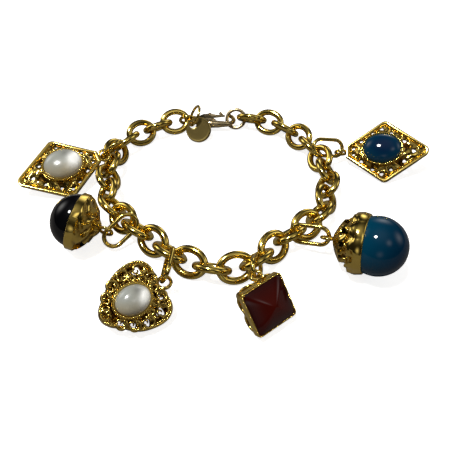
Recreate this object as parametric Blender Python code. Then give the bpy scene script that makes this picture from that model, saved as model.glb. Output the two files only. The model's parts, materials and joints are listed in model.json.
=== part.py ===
"""A gold charm bracelet lying in an open loop on a flat surface.

Thirty oval cable links stand on edge at 45 degrees, leaning in and out by turns, and close
round a jump ring, a lobster clasp and a plain end ring. Six charms hang outside the loop, each
on its own oval bail: two pierced lozenges and a pierced heart with oval stones, two domes in
pierced caps and a sugarloaf square in an arched gallery. A round tag hangs at the clasp.
"""

from math import atan2, ceil, cos, pi, radians, sin, sqrt, tan

import bmesh
import bpy
import numpy as np
from mathutils import Matrix, Vector

MM = 0.001

# Chain
LINKS = 30
LINK_LENGTH = 9.45 * MM
LINK_WIDTH = 7.8 * MM
LINK_WIRE = 1.8 * MM
LINK_LEAN = radians(45)
WEAR_GAP = 0.25 * MM
LINK_SIDES = 12
WIRE_SIDES = 6

# The loop as it lies, as points where its pieces bear on each other, from the clasp's tail
# round the front to the end ring. The loop is drawn at the size that closes it.
ROUTE = [
    (-14.5, 47.0), (-26.6, 40.6), (-33.0, 33.0), (-34.2, 25.0), (-33.8, 17.4), (-32.6, 10.2),
    (-28.2, 4.0), (-19.6, -3.8), (-11.0, -10.6), (-1.4, -13.6), (5.8, -11.2), (13.6, -3.6),
    (23.2, 4.0), (26.6, 13.0), (27.6, 22.6), (24.4, 33.0), (17.6, 42.2), (7.4, 47.6),
    (-6.0, 47.6),
]
ROUTE_SAMPLES = 1900

# Rings and clasp
END_RING_ACROSS = 6.6 * MM
END_RING_WIRE = 1.05 * MM
JUMP_RING_ACROSS = 5.6 * MM
JUMP_RING_WIRE = 1.0 * MM
END_RING_LEAN = radians(42)
JUMP_RING_LEAN = radians(60)
CLASP_LENGTH = 14.0 * MM
CLASP_WIDTH = 5.6 * MM
CLASP_THICKNESS = 2.1 * MM
CLASP_EYE = 2.4 * MM
CLASP_EYE_ACROSS = 3.6 * MM
CLASP_WIRE = 1.0 * MM
CLASP_HEIGHT = 2.3 * MM
HOOK_SLACK = 0.65 * MM
EYE_SLACK = 0.8 * MM
HOOK_THICKNESS = 1.0 * MM
LEVER_THICKNESS = 0.9 * MM
LEVER_WIDTH = 1.6 * MM
LEVER_KNOB = 1.1 * MM
LEVER_PIVOT = 6.2 * MM
LEVER_HEIGHT = 1.9 * MM
LEVER_TIP = 11.2 * MM
LEVER_SWING = radians(20)
PIN_ACROSS = 0.6 * MM
PIN_GAP = 0.15 * MM

# Tag
TAG_ACROSS = 7.5 * MM
TAG_THICKNESS = 0.6 * MM
TAG_HOLE = 2.0 * MM
TAG_AT = (-9.4, 40.7)
TAG_LIE = (79, -49, 0)
TAG_HOLE_TURN = 58
TAG_RING_ACROSS = 6.8 * MM
TAG_RING_WIRE = 0.8 * MM
TAG_RING_AT = (0.5, 2.4, 1.6)
TAG_RING_LIE = (73, 325, 308)

# Bails and the charms' soldered loops
BAIL_LENGTH = 10.2 * MM
BAIL_WIDTH = 5.6 * MM
BAIL_WIRE = 1.05 * MM
LOOP_ACROSS = 3.8 * MM
LOOP_WIRE = 0.8 * MM
LOOP_SINK = 0.45 * MM

# What every setting shares
SETTING_WALL = 0.5 * MM
STONE_GAP = 0.25 * MM
BEZEL_LIP = 0.9 * MM
EDGE_SOFTEN = 0.3 * MM

# Lozenges
LOZENGE_LENGTH = 25.2 * MM
LOZENGE_WIDTH = 18.6 * MM
LOZENGE_CORNER = 1.6 * MM
LOZENGE_CUT = 2.1 * MM
RIM_WIDTH = 1.1 * MM
RIM_RISE = 0.5 * MM
LOZENGE_PLATE = dict(
    stone=(9.6 * MM, 7.9 * MM), aside=0.8 * MM, thick=1.4 * MM, crown=1.2 * MM, cup=3.2 * MM, leaves=6)

# Heart
HEART_ACROSS = 14.8 * MM
HEART_CURVE = (0.487, 0.057, 0.001, -0.063, -0.012, -0.020)
HEART_PLATE = dict(
    stone=(7.3 * MM, 5.8 * MM), aside=0.0 * MM, thick=2.2 * MM, crown=0.9 * MM, cup=3.2 * MM, leaves=8)

# Domes
DOME_ACROSS = 14.0 * MM
BLACK_RISE = 5.7 * MM
BLACK_BAND = 1.5 * MM
BLACK_CAP_DEPTH = 6.0 * MM
BLUE_BALL = 0.98
BLUE_BAND = 3.1 * MM
BLUE_CAP_DEPTH = 7.4 * MM
CAP_WALL = 0.9 * MM
DOME_SIDES = 20

# Square
SQUARE_SIDE = 10.4 * MM
SQUARE_CORNER = 0.9 * MM
SQUARE_TRAY = 1.6 * MM
SQUARE_DEPTH = 4.2 * MM
SQUARE_RISE = 2.4 * MM
ARCH_WIDTH = 3.0 * MM
SQUARE_LOOP_ASIDE = 1.8 * MM

OVAL_RISE = 2.6 * MM
LEAF_RISE = 0.2 * MM
GAP_LONG = 1.3 * MM
GAP_WIDE = 1.1 * MM
GAP_SIDES = 6
LOOP_SIDES = 10
STONE_SIDES = 18
DOME_STEPS = 4
HEART_SIDES = 28
BAIL_TWIST = 0.4

# Gaps cut through the plates: the angle from the loop in degrees, the share of the way from
# the bezel to the rim, and the share of the full gap.
LOZENGE_GAPS = [
    (8, 0.50, 0.8), (-8, 0.50, 0.8), (32, 0.34, 1.0), (-32, 0.34, 1.0), (68, 0.40, 0.9),
    (-68, 0.40, 0.9), (87, 0.45, 1.0), (-87, 0.45, 1.0), (108, 0.34, 0.9), (-108, 0.34, 0.9),
    (148, 0.34, 1.0), (-148, 0.34, 1.0), (180, 0.42, 1.1),
]
HEART_GAPS = [
    (20, 0.45, 1.0), (-20, 0.45, 1.0), (46, 0.55, 1.3), (-46, 0.55, 1.3), (72, 0.42, 1.1),
    (-72, 0.42, 1.1), (96, 0.45, 1.2), (-96, 0.45, 1.2), (122, 0.42, 1.0), (-122, 0.42, 1.0),
    (148, 0.40, 0.9), (-148, 0.40, 0.9), (172, 0.45, 0.8), (-172, 0.45, 0.8),
]

GOLD = ((0.62, 0.43, 0.13), 0.2, 1.0)
PALE_GOLD = ((0.66, 0.56, 0.36), 0.22, 1.0)
PEARL = ((0.72, 0.71, 0.66), 0.18, 0.0)
ONYX = ((0.004, 0.004, 0.005), 0.08, 0.0)
BLUE = ((0.004, 0.06, 0.14), 0.1, 0.0)
RED = ((0.06, 0.004, 0.003), 0.1, 0.0)

# How each charm lies, in millimetres and degrees: where its middle is, the way its loop points,
# its pitch and its roll, how far its loop is turned, and where its bail's middle is from the
# loop's, with the bail's own yaw, pitch and roll.
CHARMS = {
    "pearl_lozenge": dict(
        at=(-45.5, 20.8), lie=(27, -2, 22), loop=12, bail_at=(1.3, 2.0, 0.1), bail_lie=(171, 48, 23)),
    "black_dome": dict(
        at=(-36.6, -0.8), lie=(-11, 17, 0), loop=102, bail_at=(3.3, 0.9, -0.7),
        bail_lie=(221, 22, 309)),
    "pearl_heart": dict(
        at=(-21.3, -21.6), lie=(37, -1, 42), loop=139, bail_at=(0.4, 4.8, -0.5), bail_lie=(86, 8, 295)),
    "red_square": dict(
        at=(8.2, -24.0), lie=(128, -51, -2), loop=16, bail_at=(0.6, 3.8, -1.8), bail_lie=(255, 324, 289)),
    "blue_dome": dict(
        at=(30.9, -8.4), lie=(157, 11, 0), loop=39, bail_at=(-4.0, 1.6, -0.6), bail_lie=(161, 10, 291)),
    "blue_lozenge": dict(
        at=(43.3, 28.0), lie=(169, 10, -30), loop=90, bail_at=(-4.0, -0.4, 2.0), bail_lie=(14, 14, 48)),
}


def clear_scene():
    for obj in list(bpy.data.objects):
        bpy.data.objects.remove(obj, do_unlink=True)


def material(name, look):
    """A plain Principled material with the piece's colour, roughness and metallic value."""
    made = bpy.data.materials.new(name)
    made.use_nodes = True
    shader = made.node_tree.nodes["Principled BSDF"]
    colour, roughness, metallic = look
    shader.inputs["Base Color"].default_value = (*colour, 1.0)
    shader.inputs["Roughness"].default_value = roughness
    shader.inputs["Metallic"].default_value = metallic
    return made


def new_object(name, mesh):
    made = bpy.data.objects.new(name, mesh)
    bpy.context.scene.collection.objects.link(made)
    return made


def finished(shape, name):
    """A mesh from a bmesh, its faces turned outward and its round parts shaded smooth."""
    bmesh.ops.recalc_face_normals(shape, faces=shape.faces)
    mesh = bpy.data.meshes.new(name)
    shape.to_mesh(mesh)
    shape.free()
    mesh.shade_smooth()
    mesh.set_sharp_from_angle(angle=radians(50))
    return mesh


def skinned(name, loops, ends="caps"):
    """A closed mesh over rows of points: each row is joined to the next, and the two ends are
    capped with a face, drawn to a point where the row is one point, or joined in a ring."""
    shape = bmesh.new()
    rows = [[shape.verts.new(point) for point in loop] for loop in loops]
    pairs = list(zip(rows, rows[1:]))
    if ends == "ring":
        pairs.append((rows[-1], rows[0]))
    for near, far in pairs:
        count = max(len(near), len(far))
        for i in range(count):
            corners = [near[i % len(near)], near[(i + 1) % len(near)]]
            corners += [far[(i + 1) % len(far)], far[i % len(far)]]
            shape.faces.new(list(dict.fromkeys(corners)))
    if ends == "caps":
        for row in (rows[0], rows[-1]):
            if len(row) > 2:
                shape.faces.new(row)
    return finished(shape, name)


def turned(name, profile, sides):
    """A mesh turned about the x axis from (x, radius) pairs."""
    loops = []
    for x, radius in profile:
        if radius == 0:
            loops.append([(x, 0.0, 0.0)])
            continue
        angles = np.arange(sides) * 2 * pi / sides
        loops.append([(x, radius * cos(a), radius * sin(a)) for a in angles])
    return skinned(name, loops)


def oval_path(length, width, count):
    """Points round an oval of this length and width."""
    angles = np.arange(count) * 2 * pi / count
    return np.stack([length / 2 * np.cos(angles), width / 2 * np.sin(angles), 0 * angles], 1)


def racetrack_path(length, width, arc_points):
    """Points round two half circles joined by straight sides."""
    radius = width / 2
    turns = np.linspace(-pi / 2, pi / 2, arc_points)
    half = np.stack([length / 2 - radius + radius * np.cos(turns), radius * np.sin(turns)], 1)
    both = np.concatenate([half, -half])
    return np.column_stack([both, np.zeros(len(both))])


def wire_ring(name, path, wire, sides=WIRE_SIDES):
    """A closed ring of round wire along a flat path in the xy plane."""
    ahead = np.roll(path, -1, axis=0) - np.roll(path, 1, axis=0)
    ahead /= np.linalg.norm(ahead, axis=1)[:, None]
    up = np.array([0.0, 0.0, 1.0])
    side = np.cross(ahead, up)
    loops = []
    for centre, out in zip(path, side):
        turns = np.arange(sides) * 2 * pi / sides
        loops.append([centre + wire / 2 * (cos(t) * out + sin(t) * up) for t in turns])
    return skinned(name, loops, ends="ring")


def prism(name, outline, low, high):
    """A flat outline in the xy plane carried from one height to another."""
    return skinned(name, [[(x, y, z) for x, y in outline] for z in (low, high)])


def applied(obj, tools, operation):
    """The object with each tool cut from it or joined to it, as a plain mesh."""
    for tool in tools:
        tool.hide_render = True
        tool.display_type = "WIRE"
        change = obj.modifiers.new(operation.lower(), "BOOLEAN")
        change.operation = operation
        change.solver = "EXACT"
        change.object = tool
    bpy.context.view_layer.update()
    graph = bpy.context.evaluated_depsgraph_get()
    mesh = bpy.data.meshes.new_from_object(obj.evaluated_get(graph))
    obj.modifiers.clear()
    obj.data = mesh
    for tool in tools:
        bpy.data.objects.remove(tool, do_unlink=True)
    return obj


def frame_matrix(centre, x_axis, z_axis):
    """A placing at this centre, with local x and z along the two directions."""
    x_axis = Vector(x_axis).normalized()
    z_axis = Vector(z_axis)
    z_axis = (z_axis - z_axis.dot(x_axis) * x_axis).normalized()
    y_axis = z_axis.cross(x_axis)
    turn = Matrix((x_axis, y_axis, z_axis)).transposed().to_4x4()
    return Matrix.Translation(Vector(centre)) @ turn


def lying_matrix(yaw, pitch, roll):
    """The turn that rolls about local x, pitches about y and then yaws about z, in degrees."""
    turn = Matrix.Rotation(radians(yaw), 4, "Z") @ Matrix.Rotation(radians(pitch), 4, "Y")
    return turn @ Matrix.Rotation(radians(roll), 4, "X")


def placed(name, mesh, look, matrix, parent):
    made = new_object(name, mesh)
    made.data.materials.clear()
    made.data.materials.append(material(name, look))
    made.parent = parent
    made.matrix_world = matrix
    return made


def smooth_route():
    """The route as close points on a smooth closed curve through its chosen points."""
    points = np.array(ROUTE) * MM
    each = ceil(ROUTE_SAMPLES / len(points))
    t = (np.arange(each) / each)[:, None]
    pieces = []
    for i in range(len(points)):
        a, b, c, d = (points[(i + k) % len(points)] for k in (-1, 0, 1, 2))
        curve = 2 * b + (c - a) * t + (2 * a - 5 * b + 4 * c - d) * t**2
        pieces.append(0.5 * (curve + (3 * b - a - 3 * c + d) * t**3))
    return np.concatenate(pieces)


def walked(curve, steps):
    """Places reached by straight steps from the curve's start, and how far round they went."""
    count = len(curve)
    twice = np.concatenate([curve, curve])
    here, at = curve[0], 0
    places, done = [here], 0.0
    for step in steps:
        far = np.linalg.norm(twice[at + 1:at + count // 2] - here, axis=1)
        first = int(np.argmax(far >= step))
        before = far[first - 1] if first else 0.0
        share = (step - before) / (far[first] - before)
        start = twice[at + first]
        here = start + (twice[at + first + 1] - start) * share
        done = at + first + share
        at = at + first
        places.append(here)
    return np.array(places[:-1]), done / count


def closed_places(steps):
    """The places of everything on the loop, with the route at the size that closes it."""
    curve = smooth_route()
    small, large = 0.5, 2.0
    middle = curve.mean(axis=0)
    for _ in range(50):
        scale = (small + large) / 2
        places, turns = walked(middle + (curve - middle) * scale, steps)
        if turns > 1:
            small = scale
        else:
            large = scale
    return places


def bearing(across, wire):
    """The distance between the places where a ring bears on its two neighbours."""
    return across - 2 * wire - WEAR_GAP


CHAIN_HEIGHT = (LINK_WIDTH - LINK_WIRE) / 2 * sin(LINK_LEAN) + LINK_WIRE / 2
TAIL_WALL = (CLASP_EYE_ACROSS - CLASP_EYE) / 2
CLASP_SPAN = CLASP_LENGTH - CLASP_WIRE - TAIL_WALL - WEAR_GAP - HOOK_SLACK


def outline_corners(length, width, turned_square=False):
    """The four corners of a lozenge, or of a square with its sides along x and y."""
    if turned_square:
        return [(length / 2, width / 2), (-length / 2, width / 2),
                (-length / 2, -width / 2), (length / 2, -width / 2)]
    return [(length / 2, 0), (0, width / 2), (-length / 2, 0), (0, -width / 2)]


def rounded_outline(corners, radius, arc_points, side_points):
    """The outline through these corners, each one rounded, with points along its sides."""
    arcs = []
    count = len(corners)
    for i in range(count):
        before, corner, after = (Vector(corners[(i + k) % count]) for k in (-1, 0, 1))
        came, goes = (corner - before).normalized(), (after - corner).normalized()
        first, last = Vector((came.y, -came.x)), Vector((goes.y, -goes.x))
        middle = corner - (first + last) * radius / (1 + first.dot(last))
        start = atan2(first.y, first.x)
        turn = first.angle(last)
        angles = [start + turn * k / (arc_points - 1) for k in range(arc_points)]
        arcs.append([middle + radius * Vector((cos(a), sin(a))) for a in angles])
    points = []
    for arc, following in zip(arcs, arcs[1:] + arcs[:1]):
        points += arc
        for k in range(side_points):
            points.append(arc[-1].lerp(following[0], (k + 1) / (side_points + 1)))
    return np.array([tuple(point) for point in points])


def heart_outline(count):
    """The heart's outline: its radius is a short sum of cosines of the angle from the notch."""
    angles = np.arange(count) * 2 * pi / count
    radius = sum(share * np.cos(k * angles) for k, share in enumerate(HEART_CURVE))
    radius *= HEART_ACROSS
    return np.stack([radius * np.cos(angles), radius * np.sin(angles)], 1)


def around_oval(outline, across, aside):
    """For each point of an outline, the point in its direction on an oval of this size, whose
    middle is this far toward the loop."""
    reach = np.abs(outline).max(axis=0)
    angles = np.arctan2(outline[:, 1] / reach[1], outline[:, 0] / reach[0])
    return np.stack([aside + across[0] / 2 * np.cos(angles), across[1] / 2 * np.sin(angles)], 1)


def between(outline, oval, amount):
    """The outline moved in toward the oval by this amount."""
    inward = oval - outline
    return outline + inward * (amount / np.linalg.norm(inward, axis=1))[:, None]


def at_height(points, height):
    return np.column_stack([points, np.zeros(len(points)) + height])


def bezel_size(plate):
    return [size + 2 * (STONE_GAP + SETTING_WALL) for size in plate["stone"]]


def seat_height(plate):
    return plate["thick"] + plate["crown"] - STONE_GAP


def plate_mesh(name, outline, plate):
    """A cast plate with a raised rim, a crowned field with leaf relief, an oval bezel that is
    open at the top, and a closed cup behind it."""
    aside, top, seat = plate["aside"], plate["thick"], seat_height(plate)
    bezel = around_oval(outline, bezel_size(plate), aside)
    pocket = around_oval(outline, [size + 2 * STONE_GAP for size in plate["stone"]], aside)
    edge = between(outline, bezel, EDGE_SOFTEN)
    field = between(outline, bezel, RIM_WIDTH)
    turns = np.arctan2(outline[:, 1], outline[:, 0])
    relief = top - RIM_RISE + plate["crown"] / 2 + LEAF_RISE * np.cos(plate["leaves"] * turns)
    middle = np.array([aside, 0.0])
    rows = [
        at_height(middle + (bezel - middle) * 0.66, -plate["cup"]),
        at_height(middle + (bezel - middle) * 0.92, -plate["cup"] * 0.6),
        at_height(bezel, 0),
        at_height(edge, 0),
        at_height(outline, EDGE_SOFTEN),
        at_height(outline, top - EDGE_SOFTEN),
        at_height(edge, top),
        at_height(between(outline, bezel, RIM_WIDTH - EDGE_SOFTEN), top),
        at_height(field, top - RIM_RISE),
        at_height((field + bezel) / 2, relief),
        at_height(between(bezel, outline, EDGE_SOFTEN), top + plate["crown"] - RIM_RISE),
        at_height(bezel, seat + BEZEL_LIP),
        at_height(pocket, seat + BEZEL_LIP),
        at_height(pocket, seat),
    ]
    return skinned(name, rows)


def gap_cutter(outline, plate, turn, share, long_way, wide_way):
    """A cutter for one oval gap, at this angle and this share of the way from bezel to rim."""
    reach = np.abs(outline).max(axis=0)
    angles = np.unwrap(np.arctan2(outline[:, 1] / reach[1], outline[:, 0] / reach[0]))
    looped = np.concatenate([angles - 2 * pi, angles, angles + 2 * pi])
    thrice = np.concatenate([outline] * 3)
    rim = np.array([np.interp(turn, looped, thrice[:, k]) for k in (0, 1)])
    bezel = bezel_size(plate)
    foot = np.array([plate["aside"] + bezel[0] / 2 * cos(turn), bezel[1] / 2 * sin(turn)])
    middle = foot + (rim - foot) * share
    out = (rim - foot) / np.linalg.norm(rim - foot)
    along = np.array([-out[1], out[0]])
    oval = oval_path(long_way, wide_way, GAP_SIDES)
    points = middle + oval[:, :1] * along + oval[:, 1:2] * out
    return new_object("gap", prism("gap", points, -plate["thick"], 3 * plate["thick"]))


def soldered_loop(centre, normal, toward, turn):
    """The small round loop that carries the charm, turned by this angle about the way it
    points, as a solid to join to its setting."""
    normal = Matrix.Rotation(radians(turn), 3, Vector(toward)) @ Vector(normal)
    path = oval_path(LOOP_ACROSS - LOOP_WIRE, LOOP_ACROSS - LOOP_WIRE, LOOP_SIDES)
    made = new_object("loop", wire_ring("loop", path, LOOP_WIRE, WIRE_SIDES - 1))
    made.matrix_world = frame_matrix(centre, toward, normal)
    return made


def loop_out(edge):
    """How far out a loop's middle lies when its wire is soldered to an edge."""
    return edge + LOOP_ACROSS / 2 - LOOP_SINK


def plate_setting(name, outline, plate, gaps, loop_turn):
    setting = new_object(name, plate_mesh(name, outline, plate))
    cutters = [
        gap_cutter(outline, plate, radians(turn), share, size * GAP_LONG, size * GAP_WIDE)
        for turn, share, size in gaps
    ]
    applied(setting, cutters, "DIFFERENCE")
    notch = outline[np.argmin(np.abs(np.arctan2(outline[:, 1], outline[:, 0])))][0]
    hold = (loop_out(notch), 0, plate["thick"] / 2)
    applied(setting, [soldered_loop(hold, (0, 0, 1), (1, 0, 0), loop_turn)], "UNION")
    return setting, Vector(hold)


def oval_stone(name, plate, rise):
    """An oval cabochon: a flat base, a short girdle and a domed top."""
    girdle = oval_path(*plate["stone"], STONE_SIDES)
    aside, base = plate["aside"], seat_height(plate) + STONE_GAP
    rows = [girdle * 0.95 + (aside, 0, base), girdle + (aside, 0, base + BEZEL_LIP / 2)]
    for k in range(1, DOME_STEPS):
        lift = k / DOME_STEPS * pi / 2
        rows.append(girdle * cos(lift) + (aside, 0, base + BEZEL_LIP / 2 + rise * sin(lift)))
    rows.append([(aside, 0, base + BEZEL_LIP / 2 + rise)])
    return skinned(name, rows)


def cap_profile(outside, seat, band):
    """The closed turned section of a dome's cap: its outside, then back along its inside."""
    inner = DOME_ACROSS / 2 - SETTING_WALL
    rows = [(x, r) for x, r in outside]
    rows += [(0, DOME_ACROSS / 2), (0, inner), (seat, inner)]
    rows.append((seat, inner - SETTING_WALL))
    hollow = [(x - CAP_WALL, r - CAP_WALL) for x, r in outside if r > 2 * CAP_WALL and x > band]
    rows += [(x, r) for x, r in reversed(hollow)]
    rows.append((outside[0][0] - 2 * CAP_WALL, 0))
    return rows


def dome_setting(name, outside, band, openings, cutter_outline, loop_turn):
    """A turned cap with a band for its stone, pierced all round, and its soldered loop."""
    setting = new_object(name, turned(name, cap_profile(outside, band / 2, band), DOME_SIDES))
    cutters = []
    for i in range(openings):
        hole = new_object("gap", prism("gap", cutter_outline, DOME_ACROSS * 0.16, DOME_ACROSS))
        hole.matrix_world = Matrix.Rotation((i + 0.5) * 2 * pi / openings, 4, "X")
        cutters.append(hole)
    applied(setting, cutters, "DIFFERENCE")
    hold = (loop_out(outside[0][0]), 0, 0)
    applied(setting, [soldered_loop(hold, (0, 0, 1), (1, 0, 0), loop_turn)], "UNION")
    return setting, Vector(hold)


def black_dome(loop_turn):
    half = DOME_ACROSS / 2
    depth = BLACK_CAP_DEPTH
    outside = [(depth, 0), (depth, half * 0.17), (depth * 0.86, half * 0.30)]
    outside += [(depth * 0.74, half * 0.55), (depth * 0.42, half * 0.86), (BLACK_BAND, half)]
    triangle = [(depth * 0.36, -half * 0.20), (depth * 0.68, 0), (depth * 0.36, half * 0.20)]
    setting = dome_setting("black_dome_cap", outside, BLACK_BAND, 8, triangle, loop_turn)
    radius = half - SETTING_WALL - STONE_GAP
    rows = [(BLACK_BAND / 2 - STONE_GAP, 0), (BLACK_BAND / 2 - STONE_GAP, radius * 0.95), (0, radius)]
    for k in range(1, DOME_STEPS + 1):
        lift = k / (DOME_STEPS + 1) * pi / 2
        rows.append((-BLACK_RISE * sin(lift), radius * cos(lift)))
    rows.append((-BLACK_RISE, 0))
    return (*setting, turned("black_dome_stone", rows, DOME_SIDES))


def blue_dome(loop_turn):
    half = DOME_ACROSS / 2
    depth = BLUE_CAP_DEPTH
    outside = [(depth, 0), (depth, half * 0.22), (depth * 0.88, half * 0.48)]
    outside += [(depth * 0.72, half * 0.70), (depth * 0.55, half * 0.71)]
    outside += [(BLUE_BAND, half * 0.94), (BLUE_BAND / 2, half * 1.03)]
    square = [(depth * 0.57, -half * 0.09), (depth * 0.70, -half * 0.09)]
    square += [(depth * 0.70, half * 0.09), (depth * 0.57, half * 0.09)]
    setting = dome_setting("blue_dome_cap", outside, BLUE_BAND, 10, square, loop_turn)
    radius = half - SETTING_WALL - STONE_GAP
    seat = BLUE_BAND / 2 - STONE_GAP
    rows = [(seat, 0), (seat, radius * 0.95), (STONE_GAP, radius)]
    ball = half * BLUE_BALL
    behind = sqrt(ball**2 - (half * 0.93) ** 2)
    middle = behind + STONE_GAP
    start = atan2(-behind, half * 0.93)
    for k in range(DOME_STEPS + 2):
        lift = start + (pi / 2 - start) * k / (DOME_STEPS + 2)
        rows.append((-middle - ball * sin(lift), ball * cos(lift)))
    rows.append((-middle - ball, 0))
    return (*setting, turned("blue_dome_stone", rows, DOME_SIDES))


def square_outline(side):
    return rounded_outline(outline_corners(side, side, True), SQUARE_CORNER, 3, 2)


def red_square(pitch, loop_turn):
    """A sugarloaf square in a shallow tray, on a gallery of arches that is open behind."""
    outline = square_outline(SQUARE_SIDE)
    scale = 1 / SQUARE_SIDE
    inside = outline * (1 - 2 * SETTING_WALL * scale)
    gallery = outline * (1 - 2 * EDGE_SOFTEN * scale)
    foot = outline * 0.86
    wall = 2 * CAP_WALL * scale
    rows = [
        at_height(inside, -BEZEL_LIP),
        at_height(inside, 0),
        at_height(outline, 0),
        at_height(outline, -SQUARE_TRAY + EDGE_SOFTEN),
        at_height(gallery, -SQUARE_TRAY),
        at_height(foot, -SQUARE_DEPTH),
        at_height(foot - outline * wall, -SQUARE_DEPTH),
        at_height(gallery - outline * wall, -SQUARE_TRAY),
    ]
    setting = new_object("red_square_setting", skinned("red_square_setting", rows))
    rise = (SQUARE_DEPTH - SQUARE_TRAY) / 2
    arch = oval_path(ARCH_WIDTH, rise, GAP_SIDES + 2)[:, :2]
    cutters = []
    for across in (False, True):
        for side in (-1, 1):
            points = arch + (side * SQUARE_SIDE * 0.2, 0)
            hole = new_object("gap", prism("gap", points, -SQUARE_SIDE, SQUARE_SIDE))
            depth = -(SQUARE_DEPTH + SQUARE_TRAY) / 2
            run = (1, 0, 0) if across else (0, 1, 0)
            hole.matrix_world = frame_matrix((0, 0, depth), (run[1], run[0], 0), run)
            cutters.append(hole)
    applied(setting, cutters, "DIFFERENCE")
    level = Vector((-sin(radians(pitch)), 0, cos(radians(pitch))))
    away = Vector((level.z, 0, -level.x))
    corner = Vector((foot[:, 0].max(), -SQUARE_LOOP_ASIDE, -SQUARE_DEPTH + CAP_WALL / 2))
    hold = corner + away * loop_out(0)
    applied(setting, [soldered_loop(hold, level, away, loop_turn)], "UNION")
    stone = square_outline(SQUARE_SIDE - 2 * SETTING_WALL - 2 * STONE_GAP)
    base = -BEZEL_LIP + STONE_GAP
    rows = [at_height(stone * 0.97, base), at_height(stone, base / 3)]
    for share, lift in ((0.94, 0.22), (0.68, 0.66), (0.36, 0.92)):
        rows.append(at_height(stone * share, SQUARE_RISE * lift))
    rows.append([(0, 0, SQUARE_RISE)])
    return setting, hold, skinned("red_square_stone", rows)


def charm_pieces(name, lie):
    """A charm's setting, its loop's middle and its stone's mesh."""
    if name.endswith("lozenge"):
        corners = outline_corners(LOZENGE_LENGTH, LOZENGE_WIDTH)
        outline = rounded_outline(corners, LOZENGE_CORNER, 3, 3)
        outline[:, 0] = np.minimum(outline[:, 0], LOZENGE_LENGTH / 2 - LOZENGE_CUT)
        made = plate_setting(name + "_setting", outline, LOZENGE_PLATE, LOZENGE_GAPS, lie["loop"])
        return (*made, oval_stone(name + "_stone", LOZENGE_PLATE, OVAL_RISE))
    if name == "pearl_heart":
        outline = heart_outline(HEART_SIDES)
        made = plate_setting(name + "_setting", outline, HEART_PLATE, HEART_GAPS, lie["loop"])
        return (*made, oval_stone(name + "_stone", HEART_PLATE, OVAL_RISE))
    if name == "black_dome":
        return black_dome(lie["loop"])
    if name == "blue_dome":
        return blue_dome(lie["loop"])
    return red_square(lie["lie"][1], lie["loop"])


STONE_LOOKS = {
    "pearl_lozenge": PEARL, "black_dome": ONYX, "pearl_heart": PEARL,
    "red_square": RED, "blue_dome": BLUE, "blue_lozenge": BLUE,
}


def lowest(matrix, *meshes):
    """The lowest height of these meshes under this placing."""
    return min((matrix @ v.co).z for mesh in meshes for v in mesh.vertices)


def leaning(start, end, lean):
    """The placing of a piece between two bearing places, with its top leaning outward by this
    angle, or inward where the angle is negative."""
    ahead = (end - start).normalized()
    outward = Vector((ahead.y, -ahead.x, 0)).normalized()
    normal = Vector((0, 0, cos(lean))) - sin(lean) * outward
    return frame_matrix((start + end) / 2, ahead, normal)


def link_frames(places):
    """Each link's placing: along the loop, and leaning out or in by turns."""
    leans = [LINK_LEAN if i % 2 == 0 else -LINK_LEAN for i in range(LINKS)]
    return [leaning(places[i], places[i + 1], lean) for i, lean in enumerate(leans)]


def add_charm(name, lie, parent):
    """A charm's setting and stone, resting on the surface, and its bail."""
    setting, hold, stone = charm_pieces(name, lie)
    turn = lying_matrix(*lie["lie"])
    place = Vector((*lie["at"], 0)) * MM
    place.z = -lowest(turn, setting.data, stone)
    matrix = Matrix.Translation(place) @ turn
    mesh = setting.data
    title = setting.name
    bpy.data.objects.remove(setting, do_unlink=True)
    placed(title, mesh, GOLD, matrix, parent)
    placed(name + "_stone", stone, STONE_LOOKS[name], matrix, parent)
    middle = matrix @ hold + Vector(lie["bail_at"]) * MM
    path = racetrack_path(BAIL_LENGTH - BAIL_WIRE, BAIL_WIDTH - BAIL_WIRE, LINK_SIDES // 2)
    bail = wire_ring(name + "_bail", path, BAIL_WIRE)
    matrix = Matrix.Translation(middle) @ lying_matrix(*lie["bail_lie"])
    placed(name + "_bail", bail, GOLD, matrix, parent)


def clasp_outline():
    """The lobster clasp's outer outline, from its tail eye at x = 0 to its hook end, and the
    inner edge of its hook, in one line that is open where the lever closes it."""
    eye = CLASP_EYE_ACROSS / 2
    half = CLASP_WIDTH / 2
    hook = CLASP_LENGTH - half
    tail = [(eye + eye * cos(a), eye * sin(a)) for a in np.radians([50, 90, 130, 180, 230, 270, 310])]
    belly = [(CLASP_LENGTH * 0.34, -half * 0.95), (CLASP_LENGTH * 0.50, -half)]
    bow = [(hook + half * cos(a), half * sin(a)) for a in np.radians([-90, -60, -30, 0, 30, 60, 90])]
    tip = [(LEVER_TIP, half), (LEVER_TIP, half - CLASP_WIRE)]
    inner = half - CLASP_WIRE
    throat = [(hook + inner * cos(a), inner * sin(a)) for a in np.radians([90, 45, 0, -45, -90])]
    seat = [(LEVER_PIVOT + LEVER_WIDTH, -inner), (LEVER_PIVOT + LEVER_WIDTH * 0.8, -inner * 0.3)]
    seat += [(LEVER_PIVOT + LEVER_WIDTH * 0.8, half * 0.95), (LEVER_PIVOT - LEVER_WIDTH, half)]
    return tail + belly + bow + tip + throat + seat


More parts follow.
